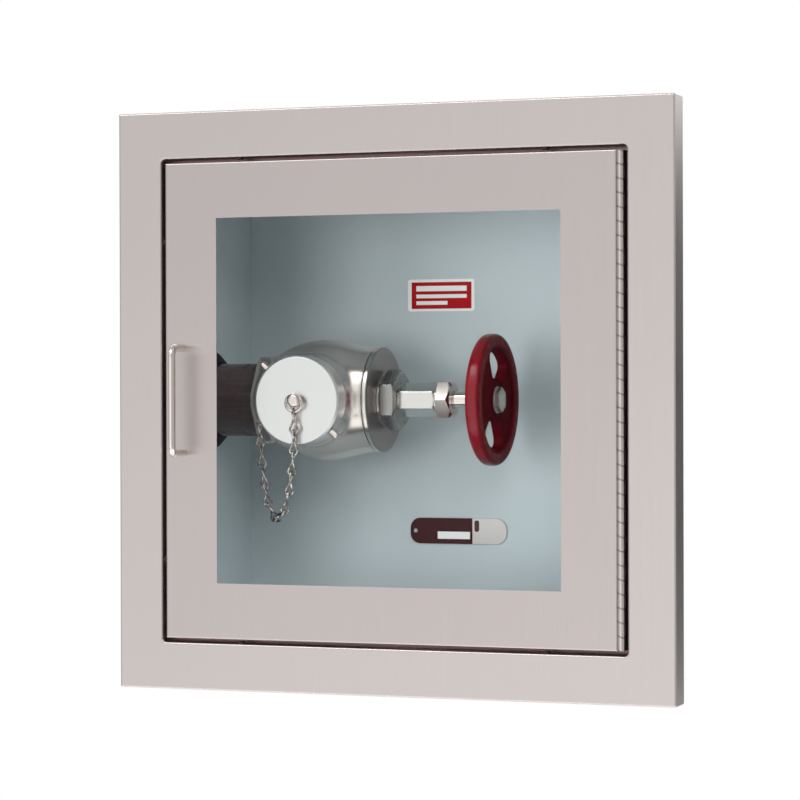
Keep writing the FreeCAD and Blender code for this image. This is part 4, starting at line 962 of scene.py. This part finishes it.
class CABINET_OT_chain(Step):
    """Bend the chain's links from wire and hang them between the swivel eye and the ear"""

    bl_idname = "cabinet.chain"
    bl_label = "Chain"

    def execute(self, context):
        joints = chain_joints()
        plate = chain_plate()
        right = joints[:-CHAIN_TAIL_LINKS]
        end = joints[-1]
        tail = joints[-CHAIN_TAIL_LINKS - 1:]
        grow = 1 + CHAIN_TAIL_DROP / 1000 / (tail[0] - end).length
        tail = [end + (joint - end) * grow for joint in tail]
        across = Vector((end.x - joints[0].x, end.y - joints[0].y, 0.0)).normalized().cross((0, 0, 1))
        for name, run, body in (("chain_right", right, "cap_swivel"), ("chain_left", tail, "chain_tail")):
            piece = self.links(name + "_wire", run, across, plate, body)
            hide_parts(name)
        return {"FINISHED"}

    def wire(self, chord):
        """One link along X, a closed figure of eight with its two eyes square to each other."""
        sizes = bpy.context.scene.cabinet_chain
        first, last = sizes.lap / 2, chord - sizes.lap / 2
        loop, part = sizes.loop * LOOP_OVERSIZE, sizes.wire * STRAND_PART
        turns = [math.radians(degrees) for degrees in range(*EYE_ANGLES)]
        points = [Vector((chord / 2, part, part))]
        for turn in turns:
            points.append(Vector((first + loop * math.cos(turn), 0.0, loop * math.sin(turn))))
        points.append(Vector((chord / 2, -part, -part)))
        for turn in turns:
            points.append(Vector((last - loop * math.cos(turn), -loop * math.sin(turn), 0.0)))
        return bent_wire("link_wire", points, sizes.wire, sizes.smoothness)

    def links(self, name, joints, across, material, body):
        """A run of links from joint to joint, as one piece."""
        mesh = curve_mesh(self.wire((joints[1] - joints[0]).length))
        bm = bmesh.new()
        for start, end in zip(joints, joints[1:]):
            along = (end - start).normalized()
            first = (across - across.cross(along)).normalized()
            turn = Matrix((along, first, along.cross(first))).transposed().to_4x4()
            placed = mesh.copy()
            placed.transform(Matrix.Translation(start) @ turn)
            bm.from_mesh(placed)
            bpy.data.meshes.remove(placed)
        bpy.data.meshes.remove(mesh)
        bmesh.ops.recalc_face_normals(bm, faces=bm.faces)
        return new_piece(name, bm, material, body)


class CABINET_OT_label(Step):
    """Print the plain label and colour the tag on the back wall"""

    bl_idname = "cabinet.label"
    bl_label = "Label and tag"

    def execute(self, context):
        dress(("wall_label",), label_print())
        dress(("tag_body",), tag_plastic())
        dress(("tag_strip",), tag_paper())
        dress(("tag_end_plate",), tag_aluminium())
        return {"FINISHED"}


class CABINET_OT_studio(Step):
    """Set the floor, the wall, the lamps, the surroundings and the camera"""

    bl_idname = "cabinet.studio"
    bl_label = "Studio"

    def execute(self, context):
        context.scene.view_settings.view_transform = "Standard"
        levels = context.scene.cabinet_studio
        self.floor()
        self.wall()
        for name, (level, *setting) in LAMPS.items():
            self.lamp(name, getattr(levels, level), *setting)
        self.surroundings(levels.fill)
        self.camera()
        return {"FINISHED"}

    def lamp(self, name, power, azimuth, elevation, distance, size):
        """A square soft lamp that faces the cabinet and isn't mirrored in it."""
        out = direction(azimuth, elevation)
        light = bpy.data.lights.new(name, "AREA")
        light.shape = "SQUARE"
        light.size = size
        light.energy = power
        lamp = add_object(name, light)
        lamp.location = Vector(LAMP_AIM) + out * distance
        lamp.rotation_euler = (-out).to_track_quat("-Z", "Y").to_euler()
        lamp.visible_glossy = False

    def floor(self):
        """A round pale floor under the hung cabinet, fading out at its edge."""
        finish = Finish("floor_pale")
        mottle = finish.noise(4.0, detail=3.0)
        finish.put(Base_Color=finish.shades(mottle, FLOOR_COLOUR, 0.98, 1.02), Roughness=0.7)
        middle = (0.0, 0.0, FLOOR_LEVEL)
        distance = finish.vector("LENGTH", finish.mapped(centre=middle), result="Value")
        fade = finish.span(distance, 0.0, 1.0, *FLOOR_FADE, True)
        clear = finish.node("ShaderNodeBsdfTransparent").outputs["BSDF"]
        finish.show(finish.mixed(fade, finish.shader.outputs["BSDF"], clear))
        bm = bmesh.new()
        bmesh.ops.create_circle(bm, cap_ends=True, radius=FLOOR_RADIUS, segments=FLOOR_SIDES,
                                matrix=Matrix.Translation(middle))
        floor = mesh_object("floor", bm, finish.material)

    def wall(self):
        """The white wall round the recess, seen from the front only."""
        finish = Finish("wall_white")
        finish.tree.nodes.remove(finish.shader)
        white = finish.node("ShaderNodeEmission").outputs["Emission"]
        clear = finish.node("ShaderNodeBsdfTransparent").outputs["BSDF"]
        behind = finish.node("ShaderNodeNewGeometry").outputs["Backfacing"]
        finish.show(finish.mixed(behind, white, clear))
        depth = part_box("trim_frame")[1].y + WALL_GAP
        bm = bmesh.new()
        rings = []
        for half in WALL_HALVES:
            corners = ((-half, -half), (half, -half), (half, half), (-half, half))
            rings.append([bm.verts.new((x, depth, z)) for x, z in corners])
        inner, outer = rings
        for i in range(4):
            bm.faces.new((outer[i - 1], outer[i], inner[i], inner[i - 1]))
        wall = mesh_object("wall", bm, finish.material)
        for ray in ("diffuse", "glossy", "transmission", "volume_scatter", "shadow"):
            setattr(wall, "visible_" + ray, False)

    def surroundings(self, fill):
        """White behind everything, soft white panels for metal to mirror, and an even fill."""
        world = bpy.data.worlds.new("studio_surroundings")
        bpy.context.scene.world = world
        world.use_nodes = True
        sky = Nodes(world.node_tree)
        out = sky.node("ShaderNodeOutputWorld")
        path = sky.node("ShaderNodeLightPath").outputs
        even, mirrored, white = (self.glow(sky, level) for level in (fill, self.panels(sky), 1.0))
        lit = sky.mixed(path["Is Glossy Ray"], even, mirrored)
        seen = sky.maths("MAXIMUM", path["Is Camera Ray"], path["Is Transmission Ray"])
        sky.join(sky.mixed(seen, lit, white), out.inputs["Surface"])

    def glow(self, sky, strength):
        """White light of one strength."""
        node = sky.node("ShaderNodeBackground")
        sky.feed(node.inputs["Color"], (1.0, 1.0, 1.0))
        sky.feed(node.inputs["Strength"], strength)
        return node.outputs["Background"]

    def panels(self, sky):
        """How bright each direction is in the metal's reflections."""
        place = sky.node("ShaderNodeTexCoord").outputs["Generated"]
        level = PANEL_BASE
        for azimuth, elevation, inner, outer, gain, wide in PANELS:
            aim = direction(azimuth, elevation)
            aim.z *= wide
            towards = sky.vector("NORMALIZE", sky.vector("MULTIPLY", place, (1.0, 1.0, wide)))
            near = sky.vector("DOT_PRODUCT", towards, aim.normalized(), "Value")
            edge, core = (math.cos(math.radians(angle)) for angle in (outer, inner))
            level = sky.maths("ADD", sky.span(near, 0.0, gain, edge, core, True), level)
        return sky.maths("MAXIMUM", level, PANEL_LEAST)

    def camera(self):
        """The camera at the photograph's place, for a square image."""
        data = bpy.data.cameras.new("camera_front")
        data.sensor_width = CAMERA_SENSOR
        data.lens = CAMERA_LENS
        camera = add_object("camera_front", data)
        placed = Matrix.Translation(CAMERA_PLACE)
        for angle, axis in zip((*CAMERA_TURNS, 90), "ZXYX"):
            placed = placed @ Matrix.Rotation(math.radians(angle), 4, axis)
        camera.matrix_world = placed
        bpy.context.scene.camera = camera


STEPS = (
    CABINET_OT_sheet_steel, CABINET_OT_hardware, CABINET_OT_tub, CABINET_OT_glazing,
    CABINET_OT_valve, CABINET_OT_wheel, CABINET_OT_pipe, CABINET_OT_chain,
    CABINET_OT_label, CABINET_OT_studio,
)

GROUPS = {
    "cabinet_colours": CabinetColours,
    "cabinet_chain": ChainSizes,
    "cabinet_thread": ThreadSizes,
    "cabinet_studio": StudioLevels,
}


class CABINET_PT_sidebar(bpy.types.Panel):
    """Sizes, colours and steps of the cabinet"""

    bl_label = "Landing valve cabinet"
    bl_idname = "CABINET_PT_sidebar"
    bl_space_type = "VIEW_3D"
    bl_region_type = "UI"
    bl_category = "Cabinet"

    def draw(self, context):
        for group_name in GROUPS:
            group = getattr(context.scene, group_name)
            box = self.layout.box()
            for name in group.bl_rna.properties.keys():
                if name not in {"rna_type", "name"}:
                    box.prop(group, name)
        for step in STEPS:
            self.layout.operator(step.bl_idname)


def register():
    for name, group in GROUPS.items():
        bpy.utils.register_class(group)
        setattr(bpy.types.Scene, name, PointerProperty(type=group))
    for kind in (*STEPS, CABINET_PT_sidebar):
        bpy.utils.register_class(kind)


def unregister():
    for kind in (CABINET_PT_sidebar, *reversed(STEPS)):
        bpy.utils.unregister_class(kind)
    for name, group in GROUPS.items():
        delattr(bpy.types.Scene, name)
        bpy.utils.unregister_class(group)


def main():
    register()
    for step in STEPS:
        family, name = step.bl_idname.split(".")
        getattr(getattr(bpy.ops, family), name)()


if __name__ == "__main__":
    main()
